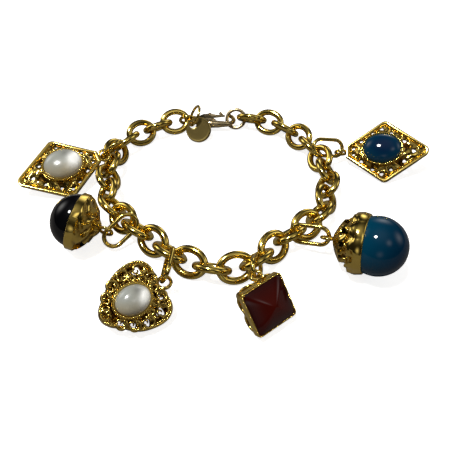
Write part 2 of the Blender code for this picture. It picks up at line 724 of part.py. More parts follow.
def clasp_body():
    """The clasp's cast body: a C with an eye at its tail and a slot for the lever's root. The
    eye and the hook are thinner than the cheeks between them."""
    outline = clasp_outline()
    body = prism("clasp_body", outline, -CLASP_THICKNESS / 2, CLASP_THICKNESS / 2)
    body = new_object("clasp_body", body)
    eye = oval_path(CLASP_EYE, CLASP_EYE, 8)[:, :2] + (CLASP_EYE_ACROSS / 2, 0)
    cutters = [new_object("eye", prism("eye", eye, -CLASP_THICKNESS, CLASP_THICKNESS))]
    deep = LEVER_THICKNESS / 2 + STONE_GAP
    reach = LEVER_WIDTH / 2 + STONE_GAP
    floor = LEVER_HEIGHT - reach
    slot = [(LEVER_PIVOT - reach, floor), (LEVER_PIVOT + 2 * reach, floor - 3 * reach * tan(LEVER_SWING))]
    slot += [(LEVER_PIVOT + 2 * reach, CLASP_WIDTH), (LEVER_PIVOT - reach, CLASP_WIDTH)]
    cutters.append(new_object("slot", prism("slot", slot, -deep, deep)))
    for low, high in ((-CLASP_WIDTH, CLASP_EYE_ACROSS), (LEVER_PIVOT + LEVER_WIDTH, 2 * CLASP_LENGTH)):
        box = [(low, -CLASP_WIDTH), (high, -CLASP_WIDTH), (high, CLASP_WIDTH), (low, CLASP_WIDTH)]
        for side in (-1, 1):
            levels = sorted((side * HOOK_THICKNESS / 2, side * CLASP_THICKNESS))
            cutters.append(new_object("thin", prism("thin", box, *levels)))
    applied(body, cutters, "DIFFERENCE")
    pin = oval_path(PIN_ACROSS, PIN_ACROSS, 6)[:, :2] + (LEVER_PIVOT, LEVER_HEIGHT)
    half = deep + STONE_GAP / 2
    applied(body, [new_object("pin", prism("pin", pin, -half, half))], "UNION")
    mesh = body.data
    bpy.data.objects.remove(body, do_unlink=True)
    return mesh


def lever_mesh():
    """The clasp's lever, round its pin at the origin, with a thumb knob near its free end."""
    reach = LEVER_TIP - LEVER_PIVOT - STONE_GAP
    half = LEVER_WIDTH / 2
    root = [(half * cos(a), half * sin(a)) for a in np.radians([90, 135, 180, 225, 270])]
    blade = [(reach, -half * 0.9), (reach, half * 0.9)]
    knob = [(reach - 0.6 * half, half + LEVER_KNOB), (reach - 1.8 * half, half + LEVER_KNOB)]
    knob += [(reach - 2.6 * half, half)]
    mesh = prism("clasp_lever", root + blade + knob, -LEVER_THICKNESS / 2, LEVER_THICKNESS / 2)
    lever = new_object("clasp_lever", mesh)
    hole = PIN_ACROSS / 2 + PIN_GAP
    bore = oval_path(2 * hole, 2 * hole, 6)[:, :2]
    bore = new_object("bore", prism("bore", bore, -LEVER_THICKNESS, LEVER_THICKNESS))
    applied(lever, [bore], "DIFFERENCE")
    mesh = lever.data
    bpy.data.objects.remove(lever, do_unlink=True)
    return mesh


def ring_mesh(name, across, wire):
    return wire_ring(name, oval_path(across - wire, across - wire, LINK_SIDES), wire)


def add_clasp(places, parent):
    """The end ring, the clasp, the lever on its pin and the ring at the clasp's tail."""
    ring = ring_mesh("end_ring", END_RING_ACROSS, END_RING_WIRE)
    placed("end_ring", ring, GOLD, leaning(places[0], places[1], END_RING_LEAN), parent)
    ring = ring_mesh("clasp_ring", JUMP_RING_ACROSS, JUMP_RING_WIRE)
    placed("clasp_ring", ring, GOLD, leaning(places[2], places[3], -JUMP_RING_LEAN), parent)
    along = (places[1] - places[2]).normalized()
    frame = frame_matrix(places[2] - along * TAIL_WALL, along, (0, 0, 1))
    placed("clasp_body", clasp_body(), PALE_GOLD, frame, parent)
    pivot = frame @ Matrix.Translation((LEVER_PIVOT, LEVER_HEIGHT, 0))
    placed("clasp_lever", lever_mesh(), PALE_GOLD, pivot, parent)


def add_tag(parent):
    """The round tag, leaning on its edge with its face to the front, and its ring."""
    turn = lying_matrix(*TAG_LIE) @ Matrix.Rotation(radians(TAG_HOLE_TURN), 4, "Z")
    outline = oval_path(TAG_ACROSS, TAG_ACROSS, 24)[:, :2]
    tag = new_object("tag", prism("tag", outline, -TAG_THICKNESS / 2, TAG_THICKNESS / 2))
    hold = Vector((TAG_ACROSS / 2 - TAG_HOLE / 2 - SETTING_WALL, 0, 0))
    hole = oval_path(TAG_HOLE, TAG_HOLE, 8)[:, :2] + (hold.x, 0)
    cutter = new_object("hole", prism("hole", hole, -TAG_THICKNESS, TAG_THICKNESS))
    applied(tag, [cutter], "DIFFERENCE")
    mesh = tag.data
    bpy.data.objects.remove(tag, do_unlink=True)
    place = Vector((*TAG_AT, 0)) * MM
    place.z = -lowest(turn, mesh)
    matrix = Matrix.Translation(place) @ turn
    placed("tag", mesh, GOLD, matrix, parent)
    middle = matrix @ hold + Vector(TAG_RING_AT) * MM
    ring = ring_mesh("tag_ring", TAG_RING_ACROSS, TAG_RING_WIRE)
    matrix = Matrix.Translation(middle) @ lying_matrix(*TAG_RING_LIE)
    placed("tag_ring", ring, GOLD, matrix, parent)


def settle(bracelet):
    """Moves the whole piece so that its origin is below the middle of its box."""
    bpy.context.view_layer.update()
    corners = [obj.matrix_world @ v.co for obj in bracelet.children for v in obj.data.vertices]
    low = Vector([min(c[k] for c in corners) for k in range(3)])
    high = Vector([max(c[k] for c in corners) for k in range(3)])
    bracelet.location = (-(low.x + high.x) / 2, -(low.y + high.y) / 2, -low.z)


def main():
    clear_scene()
    bracelet = bpy.data.objects.new("bracelet", None)
    bpy.context.scene.collection.objects.link(bracelet)
    steps = [bearing(LINK_LENGTH, LINK_WIRE)] * LINKS
    fall = CHAIN_HEIGHT - CLASP_HEIGHT
    steps.append(sqrt(bearing(END_RING_ACROSS, END_RING_WIRE) ** 2 - fall**2))
    steps.append(CLASP_SPAN)
    span = bearing(JUMP_RING_ACROSS, JUMP_RING_WIRE) - EYE_SLACK
    steps.append(sqrt(span**2 - fall**2))
    heights = [CHAIN_HEIGHT] * (LINKS + 1) + [CLASP_HEIGHT] * 2
    places = [Vector((*place, height)) for place, height in zip(closed_places(steps), heights)]
    places.append(places[0])
    frames = link_frames(places)
    path = oval_path(LINK_LENGTH - LINK_WIRE, LINK_WIDTH - LINK_WIRE, LINK_SIDES)
    for i, frame in enumerate(frames):
        name = f"link_{i + 1:02d}"
        placed(name, wire_ring(name, path, LINK_WIRE), GOLD, frame, bracelet)
    for name, lie in CHARMS.items():
        add_charm(name, lie, bracelet)
    add_clasp(places[LINKS:], bracelet)
    add_tag(bracelet)
    settle(bracelet)


main()
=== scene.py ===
"""The looks of a gold charm bracelet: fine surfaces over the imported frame, its finishes, a pale
floor and soft studio light. Lengths are in metres."""

import json
from math import atan2, cos, pi, radians, sin, sqrt

import bmesh
import bpy
import numpy as np
from mathutils import Matrix, Vector


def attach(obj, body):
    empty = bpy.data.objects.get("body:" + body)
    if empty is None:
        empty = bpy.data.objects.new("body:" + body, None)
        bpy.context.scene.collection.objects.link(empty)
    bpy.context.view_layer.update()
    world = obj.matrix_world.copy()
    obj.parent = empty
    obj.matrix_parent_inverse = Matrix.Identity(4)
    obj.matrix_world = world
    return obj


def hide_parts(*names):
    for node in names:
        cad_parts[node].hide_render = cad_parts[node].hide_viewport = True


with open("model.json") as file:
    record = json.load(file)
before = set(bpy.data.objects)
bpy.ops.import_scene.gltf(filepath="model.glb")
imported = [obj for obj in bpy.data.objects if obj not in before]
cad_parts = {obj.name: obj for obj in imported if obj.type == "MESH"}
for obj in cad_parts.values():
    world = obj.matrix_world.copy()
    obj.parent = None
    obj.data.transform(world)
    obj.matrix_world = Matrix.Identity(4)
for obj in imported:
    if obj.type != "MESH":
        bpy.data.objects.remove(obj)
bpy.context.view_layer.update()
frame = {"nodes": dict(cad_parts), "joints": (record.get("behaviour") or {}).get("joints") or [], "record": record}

MM = 0.001
PHOTO_PIXELS = 460
SIGHT_PIXELS = 498

# Chain, rings and bails: across or along, wire
LINK = (9.45 * MM, 7.8 * MM, 1.8 * MM)
END_RING = (6.6 * MM, 6.6 * MM, 1.05 * MM)
CLASP_RING = (5.6 * MM, 5.6 * MM, 1.0 * MM)
TAG_RING = (6.8 * MM, 6.8 * MM, 0.8 * MM)
BAIL = (10.2 * MM, 5.6 * MM, 1.05 * MM)
LOOP_ACROSS = 3.8 * MM
LOOP_WIRE = 0.8 * MM
LOOP_SINK = 0.45 * MM

# Settings
WALL = 0.5 * MM
STONE_GAP = 0.25 * MM
BEZEL_LIP = 0.9 * MM
EDGE = 0.3 * MM
RIM_WIDTH = 1.1 * MM
RIM_RISE = 0.5 * MM
OVAL_RISE = 2.6 * MM
LOZENGE = (25.2 * MM, 18.6 * MM)
LOZENGE_CORNER = 1.6 * MM
LOZENGE_CUT = 2.1 * MM
LOZENGE_PLATE = dict(
    stone=(9.6 * MM, 7.9 * MM), aside=0.8 * MM, thick=1.4 * MM, crown=1.2 * MM, cup=3.2 * MM)
HEART_ACROSS = 14.8 * MM
HEART_CURVE = (0.487, 0.057, 0.001, -0.063, -0.012, -0.020)
HEART_PLATE = dict(
    stone=(7.3 * MM, 5.8 * MM), aside=0.0 * MM, thick=2.2 * MM, crown=0.9 * MM, cup=3.2 * MM)
DOME_HALF = 7.0 * MM
BLACK_RISE = 5.7 * MM
BLACK_BAND = 1.5 * MM
BLACK_DEPTH = 6.0 * MM
BLUE_BAND = 3.1 * MM
BLUE_DEPTH = 7.4 * MM
SQUARE = 10.4 * MM
SQUARE_CORNER = 0.9 * MM
SQUARE_TRAY = 1.6 * MM
SQUARE_DEPTH = 4.2 * MM
SQUARE_RISE = 2.4 * MM
SQUARE_LOOP_ASIDE = 1.8 * MM

# Gaps in the plates: the angle from the loop in degrees, the share of the way from the bezel to
# the rim, and the gap's size.
LOZENGE_GAPS = [
    (8, 0.50, 0.8), (-8, 0.50, 0.8), (32, 0.34, 1.0), (-32, 0.34, 1.0), (68, 0.40, 0.9),
    (-68, 0.40, 0.9), (87, 0.45, 1.0), (-87, 0.45, 1.0), (108, 0.34, 0.9), (-108, 0.34, 0.9),
    (148, 0.34, 1.0), (-148, 0.34, 1.0), (180, 0.42, 1.1),
]
HEART_CURLS = [
    (24, 0.50, 0.9), (-24, 0.50, 0.9), (52, 0.52, 1.25), (-52, 0.52, 1.25), (86, 0.50, 1.1),
    (-86, 0.50, 1.1), (116, 0.50, 1.0), (-116, 0.50, 1.0), (146, 0.50, 0.9), (-146, 0.50, 0.9),
    (180, 0.50, 0.9), (36, 0.12, 0.45), (-36, 0.12, 0.45), (0, 0.30, 0.5), (68, 0.14, 0.35),
    (-68, 0.14, 0.35),
]

# How each charm lies: yaw, pitch and roll in degrees, and its loop's turn.
CHARMS = {
    "pearl_lozenge": ((27, -2, 22), 12),
    "black_dome": ((-11, 17, 0), 102),
    "pearl_heart": ((37, -1, 32), 151),
    "red_square": ((128, -51, -2), 16),
    "blue_dome": ((157, 11, 0), 39),
    "blue_lozenge": ((169, 10, -30), 90),
}


class Value:
    """A number that varies over a surface. The operators add Math nodes, so shader maths reads
    as plain arithmetic."""

    def __init__(self, look, socket):
        self.look = look
        self.socket = socket

    def made(self, operation, *values):
        return self.look.add("ShaderNodeMath", {"operation": operation}, *values)

    def __add__(self, other):
        return self.made("ADD", self, other)

    def __sub__(self, other):
        return self.made("SUBTRACT", self, other)

    def __rsub__(self, other):
        return self.made("SUBTRACT", other, self)

    def __mul__(self, other):
        return self.made("MULTIPLY", self, other)

    def __truediv__(self, other):
        return self.made("DIVIDE", self, other)

    def __pow__(self, other):
        return self.made("POWER", self, other)

    def clamped(self):
        return self.made("MINIMUM", self.made("MAXIMUM", self, 0.0), 1.0)

    __radd__ = __add__
    __rmul__ = __mul__


class Look:
    """A material: its Principled shader's constant sockets, and the nodes that feed the rest."""

    def __init__(self, name, **sockets):
        self.material = bpy.data.materials.new(name)
        self.material.use_nodes = True
        self.nodes = self.material.node_tree.nodes
        self.links = self.material.node_tree.links
        self.shader = self.nodes["Principled BSDF"]
        self.set_sockets(sockets)

    def set_sockets(self, sockets):
        for socket, value in sockets.items():
            self.feed(socket.replace("_", " "), value)

    def feed(self, socket, value):
        self.put(self.shader.inputs[socket], value)

    def put(self, socket, value):
        if isinstance(value, Value):
            self.links.new(value.socket, socket)
        elif isinstance(value, tuple) and len(value) == 3 and socket.type == "RGBA":
            socket.default_value = (*value, 1.0)
        else:
            socket.default_value = value

    def add(self, kind, settings, *values, out=0, **named):
        """A node of this kind: its settings first, then its sockets in order or by name."""
        node = self.nodes.new(kind)
        for setting, value in settings.items():
            setattr(node, setting, value)
        for socket, value in zip(node.inputs, values):
            self.put(socket, value)
        for socket, value in named.items():
            self.put(node.inputs[socket.replace("_", " ")], value)
        return Value(self, node.outputs[out])

    def place(self):
        return self.add("ShaderNodeTexCoord", {}, out=3)

    def noise(self, scale, detail=3.0, rough=0.5, at=None):
        return self.add(
            "ShaderNodeTexNoise", {}, Vector=at or self.place(), Scale=scale, Detail=detail,
            Roughness=rough)

    def attribute(self, name):
        return self.add("ShaderNodeAttribute", {"attribute_name": name}, out=2)

    def mix(self, share, low, high):
        """A colour that runs from low to high as share runs from 0 to 1."""
        node = self.nodes.new("ShaderNodeMix")
        node.data_type = "RGBA"
        self.put(node.inputs[0], share)
        self.put(node.inputs[6], low)
        self.put(node.inputs[7], high)
        return Value(self, node.outputs[2])

    def bump(self, height, strength, distance):
        bump = self.add(
            "ShaderNodeBump", {}, Strength=strength, Distance=distance, Height=height)
        self.feed("Normal", bump)


class Room(Look):
    """The world, as soft bright patches in a dim room."""

    def __init__(self, name, tint, dim, patches):
        """Each patch is a direction, a sharpness and a strength: its light is the strength times
        the cosine from that direction raised to the sharpness."""
        world = bpy.data.worlds.new(name)
        bpy.context.scene.world = world
        world.use_nodes = True
        self.nodes, self.links = world.node_tree.nodes, world.node_tree.links
        self.shader = self.nodes["Background"]
        way = self.add("ShaderNodeTexCoord", {}, out=0)
        light = dim
        for toward, sharp, strength in patches:
            toward = tuple(Vector(toward).normalized())
            facing = self.add(
                "ShaderNodeVectorMath", {"operation": "DOT_PRODUCT"}, way, toward, out=1)
            light = facing.clamped() ** sharp * strength + light
        self.set_sockets({"Color": tint, "Strength": light})


def gold(name, bright, deep, rough, hammer=0.0):
    """Polished gold plate. Its colour runs to the deep tone where the mesh marks painted shade in its
    hollows, with faint cloudy wear and fine casting grain; hammer adds broad soft dents."""
    look = Look(name, Metallic=1.0)
    recess = look.attribute("recess")
    cloud = look.noise(420.0, 4.0)
    grain = look.noise(5200.0, 2.0)
    # painted shade in the hollows, plus faint cloudy wear
    shade = (recess * 0.85 + (cloud - 0.5) * 0.25).clamped()
    look.feed("Base Color", look.mix(shade, bright, deep))
    look.feed("Roughness", (rough + recess * 0.12 + (cloud - 0.45) * 0.06).clamped())
    height = grain * 0.02
    if hammer:
        height = height + look.noise(650.0, 2.0) * hammer
    look.bump(height, 0.3, 0.0001)
    return look.material


def pearl(name):
    """Mother of pearl: cool white running to a warmer tone with the warm attribute, broken by a slow
    cloud; a painted shade streak; a painted highlight to one side, which also emits light; and a clear gloss."""
    look = Look(
        name, Roughness=0.22, Coat_Weight=0.6, Coat_Roughness=0.04, IOR=1.53, Emission_Strength=1.0)
    cloud = look.noise(140.0, 5.0, 0.6)
    fine = look.noise(900.0, 4.0, 0.6)
    warm = look.attribute("warm")
    painted_flash = look.attribute("painted_flash")
    share = (warm * 0.9 + (cloud - 0.5) * 0.7).clamped()
    body = look.mix(share, (0.36, 0.38, 0.35), (0.50, 0.40, 0.22))
    shade = (look.attribute("shade") * (0.5 + fine * 0.8)).clamped()
    body = look.mix(shade, body, (0.17, 0.17, 0.15))
    # the painted highlight: lighter in colour, and it emits light below
    bright = (painted_flash * (0.7 + fine * 1.4)).clamped()
    look.feed("Base Color", look.mix(bright, body, (0.96, 0.96, 0.92)))
    look.feed("Emission Color", look.mix(bright, (0.01, 0.01, 0.008), (0.26, 0.26, 0.24)))
    look.bump(cloud, 0.05, 0.0004)
    return look.material


def stone(name, heart, rim, rough=0.06, painted_glow=0.0):
    """A polished stone: its colour runs from the heart's to the rim's with the edge attribute, which paints light
    passing through the stone, broken by a slow cloud, with a clear polish. Where asked, emission in the same
    colours paints light coming out of the stone."""
    look = Look(name, Roughness=rough, IOR=1.42, Specular_IOR_Level=0.4)
    cloud = look.noise(90.0, 4.0, 0.55)
    # painted light: the shift from heart to rim stands in for light passing through the stone
    share = (look.attribute("edge") + (cloud - 0.5) * 0.35).clamped()
    look.feed("Base Color", look.mix(share, heart, rim))
    # painted light: the stone emits its own colours
    if painted_glow:
        look.feed("Emission Color", look.mix(share, heart, rim))
        look.feed("Emission Strength", painted_glow)
    look.bump(look.noise(2500.0, 2.0), 0.02, 0.0001)
    return look.material


FINISHES = {
    "chain": gold("chain_gold", (0.82, 0.60, 0.14), (0.40, 0.24, 0.04), 0.13),
    "clasp": gold("clasp_gold", (0.66, 0.52, 0.29), (0.34, 0.24, 0.10), 0.20),
    "tag": gold("tag_gold", (0.50, 0.37, 0.12), (0.24, 0.18, 0.06), 0.27),
    "setting": gold("setting_gold", (0.82, 0.59, 0.14), (0.13, 0.05, 0.005), 0.12, 0.12),
    "pearl": pearl("pearl"),
    "onyx": stone("onyx", (0.0015, 0.0015, 0.002), (0.003, 0.003, 0.004)),
    # the blue and red stones emit light in their own colours, which is painted light
    "blue_dome": stone("blue_dome", (0.0003, 0.016, 0.040), (0.0006, 0.048, 0.092), painted_glow=0.10),
    "blue_oval": stone("blue_oval", (0.0003, 0.011, 0.042), (0.004, 0.040, 0.075), painted_glow=0.10),
    "red": stone("red_stone", (0.042, 0.003, 0.0015), (0.016, 0.001, 0.0008), painted_glow=0.22),
}
FINISH_OF = {
    "pearl_lozenge": "pearl", "black_dome": "onyx", "pearl_heart": "pearl",
    "red_square": "red", "blue_dome": "blue_dome", "blue_lozenge": "blue_oval",
}


def piece(name, sheets, placing, sharp=35):
    """A mesh from sheets of points, each (rows, columns, 3), closed round its columns and, where
    it says ring, round its rows. Other sheets are capped where their end rows aren't points.
    A sheet may bring values for its vertices, by attribute name."""
    points, faces, shares, start = [], [], {}, 0
    for sheet in sheets:
        grid, ring, marks = sheet
        rows, columns = grid.shape[:2]
        index = start + np.arange(rows * columns).reshape(rows, columns)
        near = index if ring else index[:-1]
        far = np.roll(index, -1, axis=0) if ring else index[1:]
        quads = [near, np.roll(near, -1, axis=1), np.roll(far, -1, axis=1), far]
        faces.append(np.stack([q.ravel() for q in quads], axis=1))
        points.append(grid.reshape(-1, 3))
        for key, value in marks.items():
            shares.setdefault(key, []).append((start, np.broadcast_to(value, (rows, columns))))
        start += rows * columns
    points = np.concatenate(points)
    faces = np.concatenate(faces).astype(np.int32)
    turn = np.array(placing)
    points = points @ turn[:3, :3].T + turn[:3, 3]
    mesh = bpy.data.meshes.new(name)
    mesh.vertices.add(len(points))
    mesh.vertices.foreach_set("co", points.astype(np.float32).ravel())
    mesh.loops.add(faces.size)
    mesh.loops.foreach_set("vertex_index", faces.ravel())
    mesh.polygons.add(len(faces))
    mesh.polygons.foreach_set("loop_start", np.arange(0, faces.size, 4, dtype=np.int32))
    mesh.update(calc_edges=True)
    for key, parts in shares.items():
        values = np.zeros(len(points), np.float32)
        for first, value in parts:
            values[first:first + value.size] = value.ravel()
        mesh.attributes.new(key, "FLOAT", "POINT").data.foreach_set("value", values)
    shape = bmesh.new()
    shape.from_mesh(mesh)
    bmesh.ops.remove_doubles(shape, verts=shape.verts, dist=1e-7)
    bmesh.ops.dissolve_degenerate(shape, dist=1e-8, edges=shape.edges)
    bmesh.ops.holes_fill(shape, edges=shape.edges, sides=0)
    bmesh.ops.recalc_face_normals(shape, faces=shape.faces)
    shape.to_mesh(mesh)
    shape.free()
    mesh.shade_smooth()
    mesh.set_sharp_from_angle(angle=radians(sharp))
    made = bpy.data.objects.new(name, mesh)
    bpy.context.scene.collection.objects.link(made)
    return made


def dressed(made, finish, node, body="bracelet"):
    """Gives a piece its finish and lets it stand for its node."""
    made.data.materials.clear()
    made.data.materials.append(FINISHES[finish])
    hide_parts(node)
    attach(made, body)
    return made


def unit(vectors):
    return vectors / np.linalg.norm(vectors, axis=-1, keepdims=True)


def resampled(path, count, closed=True):
    """Points evenly spaced along a path."""
    whole = np.concatenate([path, path[:1]]) if closed else path
    far = np.concatenate([[0], np.cumsum(np.linalg.norm(np.diff(whole, axis=0), axis=1))])
    at = np.linspace(0, far[-1], count + 1)[:-1] if closed else np.linspace(0, far[-1], count)
    return np.stack([np.interp(at, far, whole[:, k]) for k in range(whole.shape[1])], axis=1)


def oval(length, width, count, start=0.0):
    """Points round an oval: half the length times the cosine, half the width times the sine."""
    turn = start + np.arange(count) * 2 * pi / count
    return np.stack([length / 2 * np.cos(turn), width / 2 * np.sin(turn)], axis=1)


def racetrack(length, width, count):
    """Two half circles joined by straight sides, evenly spaced."""
    radius = width / 2
    turn = np.linspace(-pi / 2, pi / 2, 33)
    half = np.stack([length / 2 - radius + radius * np.cos(turn), radius * np.sin(turn)], axis=1)
    return resampled(np.concatenate([half, -half]), count)


def level(points, height):
    return np.column_stack([points, np.zeros(len(points)) + height])


def wire_along(path, radius, sides, up, ring=True, flat=1.0):
    """A round wire along a path: at each point a circle in the plane across the path, whose
    radius may change along it. flat squeezes the circle along up."""
    if ring:
        ahead = unit(np.roll(path, -1, axis=0) - np.roll(path, 1, axis=0))
    else:
        ahead = unit(np.gradient(path, axis=0))
    side = unit(np.cross(ahead, up))
    over = np.cross(side, ahead)
    turn = np.arange(sides) * 2 * pi / sides
    radius = np.broadcast_to(radius, len(path))[:, None, None]
    across, upward = np.cos(turn)[None, :, None], flat * np.sin(turn)[None, :, None]
    return path[:, None] + radius * (across * side[:, None] + upward * over[:, None])


def closed_tube(grid):
    """A tube with each end drawn to its middle point."""
    ends = [np.repeat(grid[k].mean(axis=0)[None, None], grid.shape[1], axis=1) for k in (0, -1)]
    return np.concatenate([ends[0], grid, ends[1]])


def corners_of(node):
    """A node's own vertices, each one once."""
    mesh = frame["nodes"][node].data
    places = np.empty(len(mesh.vertices) * 3)
    mesh.vertices.foreach_get("co", places)
    return np.unique(np.round(places.reshape(-1, 3), 7), axis=0)


def ring_placing(node):
    """A ring's placing from its node: its middle, its long way as x and its thin way as z."""
    places = corners_of(node)
    middle = places.mean(axis=0)
    axes = np.linalg.eigh(np.cov((places - middle).T))[1]
    turn = np.stack([axes[:, 2], np.cross(axes[:, 0], axes[:, 2]), axes[:, 0]], axis=1)
    whole = np.eye(4)
    whole[:3, :3] = turn
    whole[:3, 3] = middle
    return whole


def lying(yaw, pitch, roll):
    """The turn that rolls about x, pitches about y and then yaws about z."""
    turn = Matrix.Rotation(radians(yaw), 4, "Z") @ Matrix.Rotation(radians(pitch), 4, "Y")
    return np.array(turn @ Matrix.Rotation(radians(roll), 4, "X"))


def charm_placing(name, known, ends):
    """A charm's placing: its turn is known, and it is moved so that its stone's box in the
    charm's own frame has the known value at each end (0 low, 1 middle, 2 high)."""
    placing = lying(*CHARMS[name][0])
    places = corners_of(name + "_stone") @ placing[:3, :3]
    low, high = places.min(axis=0), places.max(axis=0)
    found = np.array([(low[k], (low[k] + high[k]) / 2, high[k])[ends[k]] for k in range(3)])
    placing[:3, 3] = placing[:3, :3] @ (found - known)
    return placing


def ring_piece(node, size, track=oval, finish="chain", body="bracelet"):
    """A ring of round wire in its node's place."""
    length, width, wire = size
    path = level(track(length - wire, width - wire, 72), 0)
    grid = wire_along(path, wire / 2, 24, np.array([0.0, 0.0, 1.0]))
    made = piece(node + "_fine", [(grid, True, {})], ring_placing(node))
    return dressed(made, finish, node, body)


def rounded(corners, radius, count):
    """The outline through these corners, each one rounded to this radius, evenly spaced."""
    runs = []
    for i in range(len(corners)):
        before, here, after = (Vector(corners[(i + k) % len(corners)]) for k in (-1, 0, 1))
        came, goes = (here - before).normalized(), (after - here).normalized()
        first, last = Vector((came.y, -came.x)), Vector((goes.y, -goes.x))
        middle = here - (first + last) * radius / (1 + first.dot(last))
        turn = atan2(first.y, first.x) + np.linspace(0, first.angle(last), 13)
        runs.append(np.array(middle) + radius * np.stack([np.cos(turn), np.sin(turn)], axis=1))
    return resampled(np.concatenate(runs), count)


def heart_outline(count):
    """The heart: its radius is a short sum of cosines of the angle from its notch."""
    turn = np.arange(count * 4) * 2 * pi / (count * 4)
    radius = HEART_ACROSS * sum(c * np.cos(k * turn) for k, c in enumerate(HEART_CURVE))
    return resampled(np.stack([radius * np.cos(turn), radius * np.sin(turn)], axis=1), count)


def seat(plate):
    return plate["thick"] + plate["crown"] - STONE_GAP


def around_oval(outline, across, aside):
    """For each point of an outline, the point in its direction on an oval of this size, whose
    middle is this far toward the loop."""
    reach = np.abs(outline).max(axis=0)
    turn = np.arctan2(outline[:, 1] / reach[1], outline[:, 0] / reach[0])
    return np.stack([aside + across[0] / 2 * np.cos(turn), across[1] / 2 * np.sin(turn)], axis=1)


def inward(outline, target, amount):
    """The outline moved toward the target by this amount."""
    way = target - outline
    return outline + way * (amount / np.linalg.norm(way, axis=1))[:, None]


def grown(size, amount):
    return [side + 2 * amount for side in size]


def leaf_relief(across, along, leaves, vein=0.35):
    """The height of curled leaves over a field given by two coordinates. Each leaf is an oval
    mound, the root of one less the squared distances along and across it, cut by a groove
    along its middle; where leaves overlap the higher one shows. The result is 0 to 1."""
    best = np.zeros_like(across)
    for x, y, aim, long_way, wide_way in leaves:
        c, s = cos(aim), sin(aim)
        u = ((across - x) * c + (along - y) * s) / long_way
        bend = 0.35 * u**2
        v = (-(across - x) * s + (along - y) * c) / wide_way - bend
        mound = np.sqrt(np.clip(1 - u**2 - v**2, 0, None))
        groove = 1 - vein * np.exp(-(v / 0.16) ** 2)
        best = np.maximum(best, mound * groove)
    return best


def gap_places(outline, plate, gaps):
    """Each gap's middle and the way out from the bezel there."""
    bezel = grown(plate["stone"], STONE_GAP + WALL)
    reach = np.abs(outline).max(axis=0)
    turns = np.arctan2(outline[:, 1] / reach[1], outline[:, 0] / reach[0])
    found = []
    for turn, share, size in gaps:
        a = radians(turn)
        away = np.abs(np.angle(np.exp(1j * (turns - a))))
        rim = outline[np.argmin(away)]
        foot = np.array([plate["aside"] + bezel[0] / 2 * cos(a), bezel[1] / 2 * sin(a)])
        out = (rim - foot) / np.linalg.norm(rim - foot)
        found.append((foot + (rim - foot) * share, out, size))
    return found


def nearness(x, y, gaps, reach):
    """How near each point is to a gap: one at its middle, falling off as a bell."""
    near = np.zeros(len(x))
    for middle, _, size in gaps:
        far = (x - middle[0]) ** 2 + (y - middle[1]) ** 2
        near = np.maximum(near, np.exp(-far / (reach * size) ** 2))
    return near


def cutter(name, places, long_way, wide_way, low, high, placing):
    """One mesh with a rounded prism for each gap: an egg-shaped outline, pointed outward."""
    turn = np.arange(18) * 2 * pi / 18
    sheets = []
    for middle, out, size in places:
        along = np.array([-out[1], out[0]])
        wide = wide_way * size / 2 * np.sin(turn) * (1 + 0.25 * np.sin(turn))
        long_run = long_way * size / 2 * np.cos(turn) * (1 - 0.25 * np.sin(turn))
        ring = middle + long_run[:, None] * along + wide[:, None] * out
        grid = np.stack([level(ring, low), level(ring, high)])
        sheets.append((closed_tube(grid), False, {}))
    return piece(name, sheets, placing)


def pierced(made, tool):
    """The piece with the tool cut from it, as a plain mesh."""
    change = made.modifiers.new("pierce", "BOOLEAN")
    change.operation = "DIFFERENCE"
    change.solver = "EXACT"
    change.use_self = True
    change.object = tool
    bpy.context.view_layer.update()
    graph = bpy.context.evaluated_depsgraph_get()
    mesh = bpy.data.meshes.new_from_object(made.evaluated_get(graph))
    made.modifiers.clear()
    made.data = mesh
    bpy.data.objects.remove(tool, do_unlink=True)
    mesh.shade_smooth()
    mesh.set_sharp_from_angle(angle=radians(40))
    return made


def joined(name, pieces):
    """Several pieces as one mesh, each one's attributes kept."""
    with bpy.context.temp_override(
            active_object=pieces[0], selected_objects=pieces, selected_editable_objects=pieces):
        bpy.ops.object.join()
    pieces[0].name = name
    return pieces[0]


def plain(grid, ring=False):
    """A sheet that is polished all over."""
    return (grid, ring, {"recess": 0.0})


def beads(path, radius, squash=1.0):
    """A sheet for each bead of a milgrain line, a small ball at each point of the path."""
    turn = np.arange(8) * 2 * pi / 8
    lift = np.linspace(-pi / 2, pi / 2, 6)
    ball = np.stack([
        np.cos(lift)[:, None] * np.cos(turn), np.cos(lift)[:, None] * np.sin(turn),
        squash * np.sin(lift)[:, None] + 0 * turn], axis=-1)
    return [plain(place + radius * ball) for place in path]


def solder_loop(hold, toward, normal, turn):
    """The charm's small round loop, turned about the way it points."""
    normal = Matrix.Rotation(radians(turn), 3, Vector(toward)) @ Vector(normal)
    x = Vector(toward).normalized()
    z = (normal - normal.dot(x) * x).normalized()
    axes = np.array([x, z.cross(x), z])
    path = level(oval(LOOP_ACROSS - LOOP_WIRE, LOOP_ACROSS - LOOP_WIRE, 40), 0) @ axes
    grid = wire_along(path, LOOP_WIRE / 2, 14, np.array(z))
    return plain(grid + np.array(hold), True)


